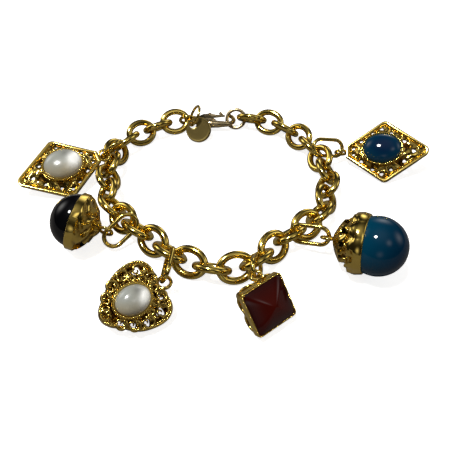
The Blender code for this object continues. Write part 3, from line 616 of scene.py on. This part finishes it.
def plate_rows(outline, plate, relief, rim_wave=0.0):
    """A cast plate as one closed skin of rows, from the cup behind it, round its edge, over a
    half-round rim, across the field with its relief, and up and over the oval bezel."""
    aside, thick, crown, cup = (plate[key] for key in ("aside", "thick", "crown", "cup"))
    middle = np.array([aside, 0.0])
    bezel = around_oval(outline, grown(plate["stone"], STONE_GAP + WALL), aside)
    pocket = around_oval(outline, grown(plate["stone"], STONE_GAP), aside)
    # marks hold painted shade for each row: the cup behind, the plate's edge, the field's low ground and the
    # stone's pocket are drawn darker
    rows, marks = [], []

    def row(points, height, mark=0.0):
        rows.append(level(points, height))
        marks.append(mark + np.zeros(len(points)))

    row(middle + bezel * 0.0, -cup)
    for t in np.linspace(0.15, 1.0, 6):
        row(middle + (bezel - middle) * (0.5 + 0.5 * sin(t * pi / 2)), -cup * (1 - t) ** 0.8, 0.3)
    row(inward(outline, bezel, EDGE), 0.0, 0.2)
    for t in np.linspace(0, 1, 5)[1:]:
        row(inward(outline, bezel, EDGE * (1 - sin(t * pi / 2))), EDGE * (1 - cos(t * pi / 2)))
    row(outline, thick * 0.5)
    for t in np.linspace(0, pi, 11):
        swell = (EDGE + 0.12 * MM) * sin(t) ** 0.35 - (RIM_RISE - EDGE) * (t / pi)
        row(inward(outline, bezel, RIM_WIDTH / 2 * (1 - cos(t)) + 1e-6),
            thick - EDGE + swell + rim_wave)
    field = inward(outline, bezel, RIM_WIDTH)
    low, high = thick - RIM_RISE, thick + crown - RIM_RISE
    edge = inward(bezel, outline, 0.05 * MM)
    for t in np.linspace(0.04, 1, 26):
        spot = field + (edge - field) * t
        fade = min(1.0, t / 0.15) * min(1.0, (1 - t) / 0.12)
        # the relief's second value is painted shade in the field's hollows
        lift, painted_hollow_shade = relief(spot)
        base = low + (high - low) * (0.15 * t + 0.85 * t**1.6)
        row(spot, base + lift * fade, np.clip(painted_hollow_shade * fade + 0.25 * (1 - fade), 0, 1))
    top = seat(plate) + BEZEL_LIP
    for t in np.linspace(0, 1, 4):
        row(bezel, high + (top - EDGE - high) * t, 0.2 * (1 - t))
    for t in np.linspace(0, pi, 7):
        row(inward(bezel, pocket, WALL / 2 * (1 - cos(t)) + 1e-6), top - EDGE + EDGE * sin(t))
    row(pocket, seat(plate), 0.8)
    row(middle + pocket * 0.0, seat(plate), 0.8)
    return np.stack(rows), np.stack(marks)


def oval_stone(name, plate, placing, node, finish):
    """An oval cabochon: a flat base, a short girdle and a dome that is the oval times the
    cosine of the lift, and the rise times its sine. A painted highlight is a soft spot to one side, with a painted
    shade streak beside it."""
    size, base = plate["stone"], seat(plate) + STONE_GAP
    girdle = oval(*grown(size, STONE_GAP * 0.8), 64)
    rows = [level(girdle * 0, base), level(girdle * 0.93, base)]
    rows.append(level(girdle, base + BEZEL_LIP / 2))
    for lift in np.linspace(0, pi / 2, 20)[1:]:
        rows.append(level(girdle * cos(lift) ** 0.9, base + BEZEL_LIP / 2 + OVAL_RISE * sin(lift)))
    grid = np.stack(rows)
    x, y = grid[..., 0] / size[0] * 2, grid[..., 1] / size[1] * 2
    reach = np.sqrt(x**2 + y**2)
    # edge: painted light passing through the stone, rising from the middle to the rim
    marks = {"edge": np.clip(reach**2 * 0.9, 0, 1)}
    turn = np.array(placing)
    wx = x * turn[0, 0] + y * turn[0, 1]
    wy = x * turn[1, 0] + y * turn[1, 1]
    # a painted highlight to one side and a painted shade streak beside it, placed by how the stone lies in the
    # world
    marks["painted_flash"] = np.exp(-(((wx - 0.62) / 0.32) ** 2 + ((wy - 0.22) / 0.50) ** 2))
    marks["shade"] = np.exp(-(((wx - 0.22) / 0.36) ** 2 + ((wy - 0.50) / 0.30) ** 2))
    grid = grid + (plate["aside"], 0, 0)
    low, right = np.clip(-wy - 0.1, 0, 1), np.clip(wx, 0, 1) * (reach > 0.3)
    marks["warm"] = np.clip(0.15 + 0.9 * low + 0.3 * right, 0, 1)
    return dressed(piece(name, [(grid, False, marks)], placing, 60), finish, node)


def lozenge(name):
    """A lozenge charm: straight sides with small round corners, a smooth raised rim, a field of
    crumpled leaves pierced with gaps, a milgrain bezel, and its stone."""
    plate = LOZENGE_PLATE
    known = np.array([plate["aside"], 0, seat(plate) + STONE_GAP])
    placing = charm_placing(name, known, (1, 1, 0))
    length, width = LOZENGE
    corners = [(length / 2, 0), (0, width / 2), (-length / 2, 0), (0, -width / 2)]
    outline = rounded(corners, LOZENGE_CORNER, 320)
    outline[:, 0] = np.minimum(outline[:, 0], length / 2 - LOZENGE_CUT)
    bezel = grown(plate["stone"], STONE_GAP + WALL)
    leaves = []
    for k in range(11):
        turn = (k + 0.3) * 2 * pi / 11
        out = 0.5 + 0.12 * cos(5 * turn)
        rim = np.array([length / 2 * cos(turn), width / 2 * sin(turn)]) * 0.80
        foot = np.array([bezel[0] / 2 * cos(turn), bezel[1] / 2 * sin(turn)])
        x, y = foot + (rim - foot) * out
        leaves.append((x, y, turn + (0.9 if k % 2 else -0.9), 3.3 * MM, 1.9 * MM))
    for sx in (-1, 1):
        for dx, dy, aim in ((0.37, 0.05, 0.5), (0.37, -0.05, -0.5), (0.44, 0.0, 0.0)):
            leaves.append((sx * dx * length, dy * length, aim * sx, 2.0 * MM, 0.9 * MM))

    gaps = gap_places(outline, plate, LOZENGE_GAPS)

    def relief(spot):
        x, y = spot[:, 0], spot[:, 1]
        rise = leaf_relief(x, y, leaves)
        bent = np.sin(x * 1900 + 2.0 * np.sin(y * 1300))
        crumple = np.abs(bent * np.cos(y * 2100 + np.sin(x * 900)))
        near = nearness(x, y, gaps, 0.85 * MM)
        lift = (1.0 * rise + 0.06 * crumple - 0.45) * MM - 0.35 * MM * near
        # the second value is painted shade: darker on the low ground between the leaves and near the gaps
        return lift, np.clip(1.4 - 1.5 * rise + 0.5 * near - 0.1 * crumple, 0, 1)

    grid, marks = plate_rows(outline, plate, relief)
    made = piece(name + "_plate", [(grid, False, {"recess": marks})], placing, 50)
    tool = cutter("gap", gaps, 1.25 * MM, 1.15 * MM, -plate["thick"], 3 * plate["thick"], placing)
    made = pierced(made, tool)
    ring = resampled(oval(*grown(plate["stone"], STONE_GAP + WALL * 0.75), 200), 58)
    grains = level(ring + (plate["aside"], 0), seat(plate) + BEZEL_LIP)
    hold = (length / 2 - LOZENGE_CUT + LOOP_ACROSS / 2 - LOOP_SINK, 0, plate["thick"] / 2)
    extra = beads(grains, 0.25 * MM) + [solder_loop(hold, (1, 0, 0), (0, 0, 1), CHARMS[name][1])]
    made = joined(name + "_fine", [made, piece("grains", extra, placing, 60)])
    dressed(made, "setting", name + "_setting")
    oval_stone(name + "_gem", plate, placing, name + "_stone", FINISH_OF[name])


def scroll(x, y, aim, size, hand, height, wire, tilt=0.0):
    """A C-scroll of round wire: an arc whose radius shrinks toward both ends so that they curl
    in, lying at this height with its middle raised a little."""
    s = np.linspace(-1, 1, 34)
    turn = hand * s * 2.5
    radius = size * (1 - 0.55 * np.abs(s) ** 1.5)
    px = x + np.cos(aim) * (radius * np.cos(turn)) - np.sin(aim) * (radius * np.sin(turn))
    py = y + np.sin(aim) * (radius * np.cos(turn)) + np.cos(aim) * (radius * np.sin(turn))
    pz = height(px, py) + wire * 0.4 * np.cos(s * pi / 2)
    path = np.stack([px, py, pz], axis=1)
    thick = wire / 2 * (0.55 + 0.45 * np.cos(s * pi / 2) ** 0.5)
    grid = wire_along(path, thick, 10, np.array([0.0, 0.0, 1.0]), ring=False)
    # the scroll wires carry a little painted shade
    return (closed_tube(grid), False, {"recess": 0.35})


def heart():
    """The heart charm: an open ground of C-scrolls between the bezel and a hatched rim."""
    name = "pearl_heart"
    plate = HEART_PLATE
    known = np.array([plate["aside"], 0, seat(plate) + STONE_GAP])
    placing = charm_placing(name, known, (1, 1, 0))
    outline = heart_outline(336)
    bezel = grown(plate["stone"], STONE_GAP + WALL)
    places = gap_places(outline, plate, HEART_CURLS)

    def relief(spot):
        x, y = spot[:, 0], spot[:, 1]
        near = nearness(x, y, places, 0.9 * MM)
        grain = np.abs(np.sin(x * 2300) * np.cos(y * 2100))
        # the second value is painted shade over the ground between the scrolls, a little lighter on the grain
        return (0.15 * grain - 0.85) * MM - 0.2 * MM * near, 1.0 - 0.3 * grain

    hatch = 0.10 * MM * np.abs(np.sin(np.arange(336) * pi / 3.0))
    grid, marks = plate_rows(outline, plate, relief, hatch)
    made = piece(name + "_plate", [(grid, False, {"recess": marks})], placing, 50)
    tool = cutter(
        "gap", places[1:11:2] + places[2:3], 1.5 * MM, 1.5 * MM, -plate["thick"],
        3 * plate["thick"], placing)
    made = pierced(made, tool)

    reach = np.abs(outline).max(axis=0)

    def height(px, py):
        """The crowned field's height: it rises from the rim to the bezel."""
        share = np.hypot(px / reach[0], py / reach[1])
        foot = np.hypot(bezel[0] / 2 / reach[0], 0)
        t = np.clip((1 - share) / (1 - foot), 0, 1)
        return plate["thick"] - 0.1 * MM + (plate["crown"] - RIM_RISE * 0.5) * t

    extra = []
    for k, (middle, out, size) in enumerate(places):
        aim = atan2(out[1], out[0])
        hand = 1 if k % 2 else -1
        reel = 1.45 * MM * size ** 0.5
        side = hand * np.array([-out[1], out[0]])
        extra.append(scroll(*middle, aim + 0.9 * hand, reel, hand, height, 0.66 * MM))
        x, y = middle - side * reel * 0.25
        extra.append(scroll(x, y, aim + 3.4 * hand, reel * 0.42, -hand, height, 0.46 * MM))
        x, y = middle + side * reel * 1.05 - out * 0.5 * MM
        extra.append(scroll(x, y, aim - 1.2 * hand, reel * 0.62, hand, height, 0.5 * MM))
    ring = resampled(oval(*grown(plate["stone"], STONE_GAP + WALL * 0.8), 200), 44)
    grains = level(ring + (plate["aside"], 0), seat(plate) + BEZEL_LIP * 0.9)
    rope = level(resampled(inward(outline, outline * 0, 0.35 * MM), 120), plate["thick"] + 0.1 * MM)
    rope_sheets = beads(rope, 0.30 * MM, 0.8)
    notch = outline[np.argmin(np.abs(np.arctan2(outline[:, 1], outline[:, 0])))][0]
    hold = (notch + LOOP_ACROSS / 2 - LOOP_SINK, 0, plate["thick"] / 2)
    extra += beads(grains, 0.26 * MM) + rope_sheets
    extra.append(solder_loop(hold, (1, 0, 0), (0, 0, 1), CHARMS[name][1]))
    made = joined(name + "_fine", [made, piece("grains", extra, placing, 60)])
    dressed(made, "setting", name + "_setting")
    oval_stone(name + "_gem", plate, placing, name + "_stone", "pearl")


def around_x(x, radius, count):
    """Points round the x axis at this place and radius."""
    turn = np.arange(count) * 2 * pi / count
    return np.stack([x + 0 * turn, radius * np.cos(turn), radius * np.sin(turn)], axis=1)


def turned(profile, sides, wave=None):
    """A profile of (x, radius) carried round the x axis. wave gives each row's added radius and
    added x for each angle."""
    turn = np.arange(sides) * 2 * pi / sides
    x = np.array([p[0] for p in profile])[:, None] + 0 * turn
    radius = np.array([p[1] for p in profile])[:, None] + 0 * turn
    if wave is not None:
        out, ahead = wave(x, radius, turn[None] + 0 * x)
        radius, x = radius + out * (radius > 0), x + ahead
    return np.stack([x, radius * np.cos(turn), radius * np.sin(turn)], axis=-1)


def smooth_profile(points, each):
    """A profile through these points with straight runs, each cut in equal steps."""
    points = np.array(points)
    t = np.linspace(0, 1, each, endpoint=False)[:, None]
    runs = [a + (b - a) * t for a, b in zip(points, points[1:])]
    return np.concatenate(runs + [points[-1:]])


def dome_caps():
    """The two domes' turned caps with their relief and piercings, and their stones."""
    half = DOME_HALF
    for name in ("black_dome", "blue_dome"):
        black = name == "black_dome"
        band = BLACK_BAND if black else BLUE_BAND
        depth = BLACK_DEPTH if black else BLUE_DEPTH
        placing = charm_placing(name, np.array([band / 2 - STONE_GAP, 0, 0]), (2, 1, 1))
        if black:
            outside = [(depth, 0), (depth, half * 0.17), (depth * 0.86, half * 0.30)]
            outside += [(depth * 0.74, half * 0.55), (depth * 0.42, half * 0.86), (band, half)]
            count, petals = 8, 8
        else:
            outside = [(depth, 0), (depth, half * 0.22), (depth * 0.88, half * 0.48)]
            outside += [(depth * 0.72, half * 0.70), (depth * 0.55, half * 0.71)]
            outside += [(band, half * 0.94), (band / 2, half * 1.03)]
            count, petals = 10, 10
        inner = half - WALL
        skin = smooth_profile(outside, 9)
        soft = 0.12 * MM
        lip = [(0, half), (-soft, half - soft), (-soft, inner + soft), (0, inner)]
        wall = 0.9 * MM
        hollow = [(x - wall, r - wall) for x, r in outside if r > 2 * wall and x > band]
        inside = [(band / 2, inner), (band / 2, inner - WALL)] + hollow[::-1]
        inside.append((depth - 2 * wall, 0))
        profile = np.concatenate([skin, lip, smooth_profile(inside, 3)])

        def wave(x, radius, turn):
            """Leaf mounds between the band and the end, or petals whose edge runs in and out
            with the angle, with a little hammering; nothing on the inside."""
            outer = np.zeros(x.shape)
            outer[:len(skin)] = 1.0
            share = np.clip((x - band * (0.95 if black else 0.7)) / (depth - band), 0, 1)
            belt = np.sin(share * pi) ** 0.5 * outer
            ridge = np.abs(np.sin(turn * petals / 2 + 1.2 * np.sin(x * 1500)))
            crumple = np.abs(np.sin(turn * 11 + x * 1800) * np.cos(x * 2600 + 2 * np.sin(turn * 7)))
            if black:
                return belt * (0.75 * ridge + 0.10 * crumple - 0.4) * MM, 0 * x
            scallop = np.abs(np.cos(turn * petals / 2))
            collar = np.exp(-((x - band * 0.75) / (1.0 * MM)) ** 2) * outer
            out = belt * (0.45 * ridge + 0.1 * crumple - 0.2) + collar * (0.35 * scallop - 0.15)
            return out * MM, collar * (0.55 * scallop - 0.3) * MM * (x > band * 0.6)

        grid = turned(profile, 200, wave)
        share = np.clip((grid[..., 0] - band * 1.05) / (0.6 * MM), 0, 1)
        turn = np.arange(200) * 2 * pi / 200
        ridge = np.abs(np.sin(turn[None] * petals / 2 + 1.2 * np.sin(grid[..., 0] * 1500)))
        # painted shade: darker between the ridges past the band, and all over the inside of the cap
        marks = np.clip(share * (0.85 - 0.8 * ridge), 0, 1)
        marks[len(skin) + 4:] = 0.8
        cap = piece(name + "_cap_skin", [(grid, False, {"recess": marks})], placing, 50)
        tools = []
        for k in range(count):
            a = (k + 0.5) * 2 * pi / count
            if black:
                gap = [(depth * 0.36, -half * 0.20), (depth * 0.68, 0), (depth * 0.36, half * 0.20)]
                ring = rounded(gap[::-1], 0.22 * MM, 24)
            else:
                gap = [(depth * 0.57, -half * 0.09), (depth * 0.70, -half * 0.09)]
                gap += [(depth * 0.70, half * 0.09), (depth * 0.57, half * 0.09)]
                ring = rounded(gap, 0.2 * MM, 24)
            tall = np.stack([level(ring, half * 0.32), level(ring, half * 2)])
            c, s = cos(a), sin(a)
            spin = np.array([[1, 0, 0], [0, c, s], [0, -s, c]])
            tools.append((closed_tube(tall) @ spin, False, {}))
        cap = pierced(cap, piece("gap", tools, placing))
        hold = (depth + LOOP_ACROSS / 2 - LOOP_SINK, 0, 0)
        extra = [solder_loop(hold, (1, 0, 0), (0, 0, 1), CHARMS[name][1])]
        extra += beads(around_x(-0.05 * MM, half - WALL * 0.7, 110), 0.21 * MM)
        if not black:
            extra += beads(around_x(depth * 0.50, half * 0.80, count), 0.5 * MM)
        made = joined(name + "_cap_fine", [cap, piece("grains", extra, placing, 60)])
        dressed(made, "setting", name + "_cap")

        radius = half - WALL - STONE_GAP * 0.3
        seat = band / 2 - STONE_GAP
        rows = [(seat, 0), (seat, radius * 0.95)]
        if black:
            rows.append((0, radius))
            lift = np.linspace(0, pi / 2, 26)[1:]
            rows += [(-BLACK_RISE * sin(a), radius * cos(a)) for a in lift]
        else:
            rows.append((STONE_GAP, radius))
            ball = half * 0.98
            behind = sqrt(ball**2 - (half * 0.93) ** 2)
            start = atan2(-behind, half * 0.93)
            lift = np.linspace(start, pi / 2, 34)
            rows += [(-behind - STONE_GAP - ball * sin(a), ball * cos(a)) for a in lift]
        grid = turned(rows, 96)
        low = grid[..., 0].min()
        # edge: painted light passing through the stone, rising from the top of the dome to its foot
        marks = {"edge": np.clip(1 - (grid[..., 0] / low), 0, 1) ** 1.2 * 0.8}
        gem = piece(name + "_gem", [(grid, False, marks)], placing, 60)
        dressed(gem, FINISH_OF[name], name + "_stone")


def square_ring(side, corner, count=176):
    half = side / 2
    return rounded([(half, half), (-half, half), (-half, -half), (half, -half)], corner, count)


def red_square():
    """The square charm: a tray with a thin hatched bezel on a gallery of arches, and a
    sugarloaf stone, a low pyramid with softly rounded ridges."""
    name = "red_square"
    placing = charm_placing(name, np.array([0, 0, SQUARE_RISE]), (1, 1, 2))
    outline = square_ring(SQUARE, SQUARE_CORNER)
    scale = 1 / SQUARE
    inside = outline * (1 - 1.3 * WALL * scale)
    gallery = outline * (1 - 2 * EDGE * scale)
    foot = outline * 0.86
    wall = 1.8 * MM * scale
    rows = [level(inside * 0, -BEZEL_LIP), level(inside, -BEZEL_LIP)]
    for t in np.linspace(0, pi, 9):
        spot = inside + (outline - inside) * (1 - cos(t)) / 2
        rows.append(level(spot, -EDGE * 0.5 + EDGE * sin(t)))
    for t in np.linspace(0, 1, 5)[1:]:
        rows.append(level(outline, -EDGE * 0.5 - (SQUARE_TRAY - EDGE) * t))
    rows.append(level(gallery, -SQUARE_TRAY))
    rows.append(level(gallery * 0.985, -SQUARE_TRAY - 0.25 * MM))
    for t in np.linspace(0.2, 1, 5):
        height = -SQUARE_TRAY - (SQUARE_DEPTH - SQUARE_TRAY) * t
        rows.append(level(gallery + (foot - gallery) * t, height))
    rows.append(level(foot - outline * wall, -SQUARE_DEPTH))
    rows.append(level(gallery - outline * wall, -SQUARE_TRAY))
    rows.append(level(gallery * 0, -SQUARE_TRAY))
    grid = np.stack(rows)
    marks = np.zeros(grid.shape[:2])
    # painted shade on the gallery's sides and under the tray
    marks[-10:] = 0.35
    tray = piece(name + "_tray", [(grid, False, {"recess": marks})], placing, 40)
    rise = (SQUARE_DEPTH - SQUARE_TRAY) / 2
    sheets = []
    for across in (False, True):
        for side in (-1, 1):
            ring = oval(3.0 * MM, rise, 28) + (side * SQUARE * 0.2, 0)
            u, w = ring[:, 0], ring[:, 1] - (SQUARE_DEPTH + SQUARE_TRAY) / 2
            run = np.array([-SQUARE, SQUARE])[:, None] + 0 * u
            flat = [run, u + 0 * run, w + 0 * run] if across else [u + 0 * run, run, w + 0 * run]
            sheets.append((closed_tube(np.stack(flat, axis=-1)), False, {}))
    tray = pierced(tray, piece("gap", sheets, placing))
    pitch = radians(CHARMS[name][0][1])
    up = Vector((-sin(pitch), 0, cos(pitch)))
    away = Vector((up.z, 0, -up.x))
    corner = Vector((SQUARE * 0.43, -SQUARE_LOOP_ASIDE, -SQUARE_DEPTH + 0.45 * MM))
    hold = corner + away * (LOOP_ACROSS / 2 - LOOP_SINK)
    extra = [solder_loop(hold, away, up, CHARMS[name][1])]
    grains = level(resampled(outline * (1 - WALL * 0.9 * scale), 150), EDGE * 0.35)
    extra += beads(grains, 0.16 * MM)
    arcs = []
    for turn in range(4):
        c, s = cos(turn * pi / 2), sin(turn * pi / 2)
        for side in (-1, 1):
            a = np.linspace(0, pi, 18)
            u = side * SQUARE * 0.2 + 1.85 * MM * np.cos(a)
            drop = -SQUARE_TRAY - 0.35 * MM - 1.75 * MM * np.sin(a)
            path = np.stack([u, 0 * a + SQUARE * 0.45, drop], axis=1)
            spin = np.array([[c, s, 0], [-s, c, 0], [0, 0, 1]])
            tube = wire_along(path @ spin, 0.34 * MM, 10, np.array([0, 1.0, 0]) @ spin, ring=False)
            # a little painted shade on the arches
            arcs.append((closed_tube(tube), False, {"recess": 0.1}))
    made = joined(name + "_fine", [tray, piece("grains", extra + arcs, placing, 60)])
    dressed(made, "setting", name + "_setting")

    side = SQUARE - 1.4 * WALL
    base = -BEZEL_LIP + STONE_GAP
    girdle = square_ring(side, SQUARE_CORNER)
    rows = [level(girdle * 0, base), level(square_ring(side * 0.98, SQUARE_CORNER), base)]
    for t in np.linspace(1, 0, 30):
        ring = girdle * t
        smooth = (np.abs(ring / (side / 2)) ** 7).sum(axis=1) ** (1 / 7)
        bulge = np.clip(1 - smooth**1.35, 0, 1) ** 0.92
        rows.append(level(ring, EDGE * 0.3 + (SQUARE_RISE - EDGE * 0.3) * bulge))
    grid = np.stack(rows)
    reach = np.abs(grid[..., :2]).max(axis=-1) / (side / 2)
    # edge: painted light passing through the stone, rising from the middle to the rim
    marks = {"edge": np.clip(reach**2, 0, 1)}
    dressed(piece(name + "_gem", [(grid, False, marks)], placing, 60), "red", name + "_stone")


def frame_from(node_points, ahead, up):
    x = np.array(Vector(ahead).normalized())
    z = np.array(Vector(up))
    z = z - z.dot(x) * x
    z /= np.linalg.norm(z)
    whole = np.eye(4)
    whole[:3, :3] = np.stack([x, np.cross(z, x), z], axis=1)
    whole[:3, 3] = node_points
    return whole


def clasp():
    """The lobster clasp: a cast C whose section swells and thins along its bent middle line,
    an eye at its tail, and a lever on a pin that closes it."""
    joint = frame["joints"][0]
    pin = np.array(joint["pos_m"])
    places = corners_of("clasp_body")
    tail = places[places[:, 0] < places[:, 0].min() + 1.2 * MM].mean(axis=0)
    hook = places[places[:, 0] > places[:, 0].max() - 0.8 * MM].mean(axis=0)
    ahead = Vector((hook[0] - tail[0], hook[1] - tail[1], 0)).normalized()
    side = np.array([-ahead.y, ahead.x, 0])
    start = pin - 6.2 * MM * np.array(ahead) - 1.9 * MM * side
    placing = frame_from(start, ahead, (0, 0, 1))
    up = np.array([0.0, 0.0, 1.0])

    def rod(points, count, shares, radii, sides):
        """A rod through points in millimetres, its radii given at shares of its length."""
        path = level(resampled(np.array(points) * MM, count, closed=False), 0)
        thick = np.interp(np.linspace(0, 1, count), shares, radii) * MM
        return wire_along(path, thick, sides, up, ring=False)

    half, wire, length = 2.8, 1.0, 14.0
    bow = length - half
    bend = half - wire / 2
    points = [(3.3, -0.15), (4.6, -1.0), (6.2, -1.75), (8.6, -half + wire * 0.62)]
    points += [(bow + bend * cos(a), bend * sin(a)) for a in np.radians(np.linspace(-90, 90, 22))]
    points += [(11.3, bend)]
    shares = [0, 0.10, 0.25, 0.42, 0.60, 0.9, 1.0]
    arm = rod(points, 70, shares, [1.1, 1.5, 1.45, 1.0, 0.68, 0.62, 0.5], 24)
    s = np.linspace(0, 1, 70)
    arm[..., 2] *= np.interp(s, [0, 0.1, 0.3, 0.45, 1], [0.85, 0.78, 0.85, 1.0, 1.0])[:, None]
    sheets = [plain(closed_tube(arm))]
    points = [(3.0, 0.1), (4.6, 0.5), (6.4, 0.75), (8.0, 0.9)]
    for side in (-1, 1):
        cheek = rod(points, 24, [0, 0.3, 0.7, 1.0], [0.9, 1.6, 1.6, 0.8], 16)
        cheek[..., 2] = cheek[..., 2] * 0.19 + side * 0.8184 * MM
        sheets.append(plain(closed_tube(cheek)))
    eye_path = level(oval(3.0 * MM, 3.0 * MM, 40), 0) + (1.8 * MM, 0, 0)
    eye = wire_along(eye_path, 0.34 * MM, 14, up)
    eye[..., 2] *= 1.3
    neck = rod([(2.9, 0.0), (3.8, 0.1), (5.0, 0.3)], 12, [0, 1], [0.75, 1.15], 16)
    neck[..., 2] *= 0.6
    sheets += [plain(eye, True), plain(closed_tube(neck))]
    pin_ring = level(oval(0.84 * MM, 0.84 * MM, 20), 0) + (6.2 * MM, 1.9 * MM, 0)
    for side in (-1, 1):
        rows = [pin_ring + (0, 0, side * 0.9 * MM), pin_ring + (0, 0, side * 1.12 * MM)]
        centre = np.array([6.2 * MM, 1.9 * MM, side * 1.2 * MM])
        rows.append(centre + (rows[-1] - centre) * (0.75, 0.75, 0.2))
        sheets.append(plain(closed_tube(np.stack(rows))))
    dressed(piece("clasp_body_fine", sheets, placing, 60), "clasp", "clasp_body")

    points = [(5.75, 1.9), (7.4, 1.95), (9.4, 2.05), (10.85, 2.1)]
    lever = rod(points, 30, [0, 0.15, 0.6, 1], [0.62, 0.68, 0.6, 0.42], 18)
    lever[..., 2] *= 0.66
    s = np.linspace(0, 1, 10)
    knob_path = np.stack([9.9 - 0.5 * s**2, 2.3 + 1.35 * s, 0 * s], axis=1) * MM
    thick = np.interp(s, [0, 0.5, 1], [0.55, 0.38, 0.5]) * MM
    knob = wire_along(knob_path, thick, 16, up, ring=False)
    knob[..., 2] *= 0.85
    sheets = [plain(closed_tube(lever)), plain(closed_tube(knob))]
    made = piece("clasp_lever_fine", sheets, placing, 60)
    dressed(made, "clasp", "clasp_lever", "lever")


def tag():
    """The round tag: a disc between its rim and its hole, with both edges rounded over and a
    fine raised line inside the rim. Its face is bare."""
    places = corners_of("tag")
    mount = [m for m in frame["record"]["mounts"] if m["name"] == "tag_face"][0]
    normal = np.array(mount["axis"])
    face = np.array(mount["pos_m"])
    middle = face - normal * 0.3 * MM
    placing = frame_from(middle, (1, 0, 0), normal)
    turn = np.array(placing)[:3, :3]
    flat = (places - middle) @ turn
    near = flat[np.hypot(flat[:, 0], flat[:, 1]) < 3.4 * MM][:, :2]
    hole = (near.min(axis=0) + near.max(axis=0)) / 2
    angle = np.arange(96) * 2 * pi / 96
    ring = np.stack([np.cos(angle), np.sin(angle)], axis=1)
    outer, inner = 3.75 * MM * ring, hole + 1.0 * MM * ring
    rows, marks = [], []
    steps = [
        (0.0, 0.0), (0.012, 0.75), (0.04, 1.0), (0.10, 1.0), (0.5, 1.0), (0.80, 1.0),
        (0.86, 1.05), (0.90, 1.18), (0.94, 1.18), (0.975, 1.0), (0.993, 0.7), (1.0, 0.0)]
    for share, height in steps:
        rows.append(level(inner + (outer - inner) * share, height * 0.3 * MM))
        # painted shade: the face inside the raised line and the back are drawn darker
        marks.append(0.35 if 0.1 <= share <= 0.86 else 0.0)
    for share, height in steps[-2:0:-1]:
        rows.append(level(inner + (outer - inner) * share, -height * 0.3 * MM))
        marks.append(0.3)
    grid = np.stack(rows)
    made = piece("tag_fine", [(grid, True, {"recess": np.array(marks)[:, None]})], placing, 40)
    dressed(made, "tag", "tag")


for index in range(1, 31):
    ring_piece(f"link_{index:02d}", LINK)
ring_piece("end_ring", END_RING, finish="clasp")
ring_piece("clasp_ring", CLASP_RING)
ring_piece("tag_ring", TAG_RING)
for title in CHARMS:
    ring_piece(title + "_bail", BAIL, racetrack)
lozenge("pearl_lozenge")
lozenge("blue_lozenge")
heart()
dome_caps()
red_square()
clasp()
tag()


def studio():
    """A pale floor, a dim room with soft bright patches, a lamp overhead, and the camera."""
    scene = bpy.context.scene
    size = 3.0
    corners = [(-size, -size, 0), (size, -size, 0), (size, size, 0), (-size, size, 0)]
    floor = bpy.data.meshes.new("floor")
    floor.from_pydata(corners, [], [(0, 1, 2, 3)])
    floor = bpy.data.objects.new("floor", floor)
    scene.collection.objects.link(floor)
    pale = Look("pale_floor", Roughness=0.9)
    pale.feed("Emission Color", (1.0, 1.0, 1.0))
    seen = pale.add("ShaderNodeLightPath", {})
    pale.feed("Base Color", pale.mix(seen, (0.16, 0.15, 0.14), (0.86, 0.85, 0.83)))
    pale.feed("Emission Strength", seen * 0.82)
    floor.data.materials.append(pale.material)

    Room("room", (1.0, 0.98, 0.94), 0.014, [
        ((0, 0, 1), 9, 0.34), ((-0.8, 0.5, 0.5), 40, 3.0), ((0.3, 0.9, 0.36), 45, 2.2),
        ((0.9, 0.1, 0.45), 40, 1.6), ((-0.1, -0.95, 0.30), 60, 0.7), ((0.5, -0.5, 0.9), 80, 1.6)])

    light = bpy.data.lights.new("lamp", "AREA")
    light.shape = "DISK"
    light.size = 0.16
    light.energy = 6.5
    lamp = bpy.data.objects.new("lamp", light)
    lamp.location = Vector((-0.27, -0.09, 0.95)).normalized() * 0.9
    lamp.rotation_euler = (-lamp.location).to_track_quat("-Z", "Y").to_euler()
    scene.collection.objects.link(lamp)
    scene.view_settings.view_transform = "Standard"

    camera = bpy.data.cameras.new("camera")
    camera.sensor_width = 36
    camera.lens = SIGHT_PIXELS / PHOTO_PIXELS * 36
    camera.clip_start = 0.001
    eye = bpy.data.objects.new("camera", camera)
    scene.collection.objects.link(eye)
    eye.location = (0.000677, -0.092811, 0.0927)
    eye.rotation_euler = (radians(42.5), 0, 0)
    scene.camera = eye


studio()
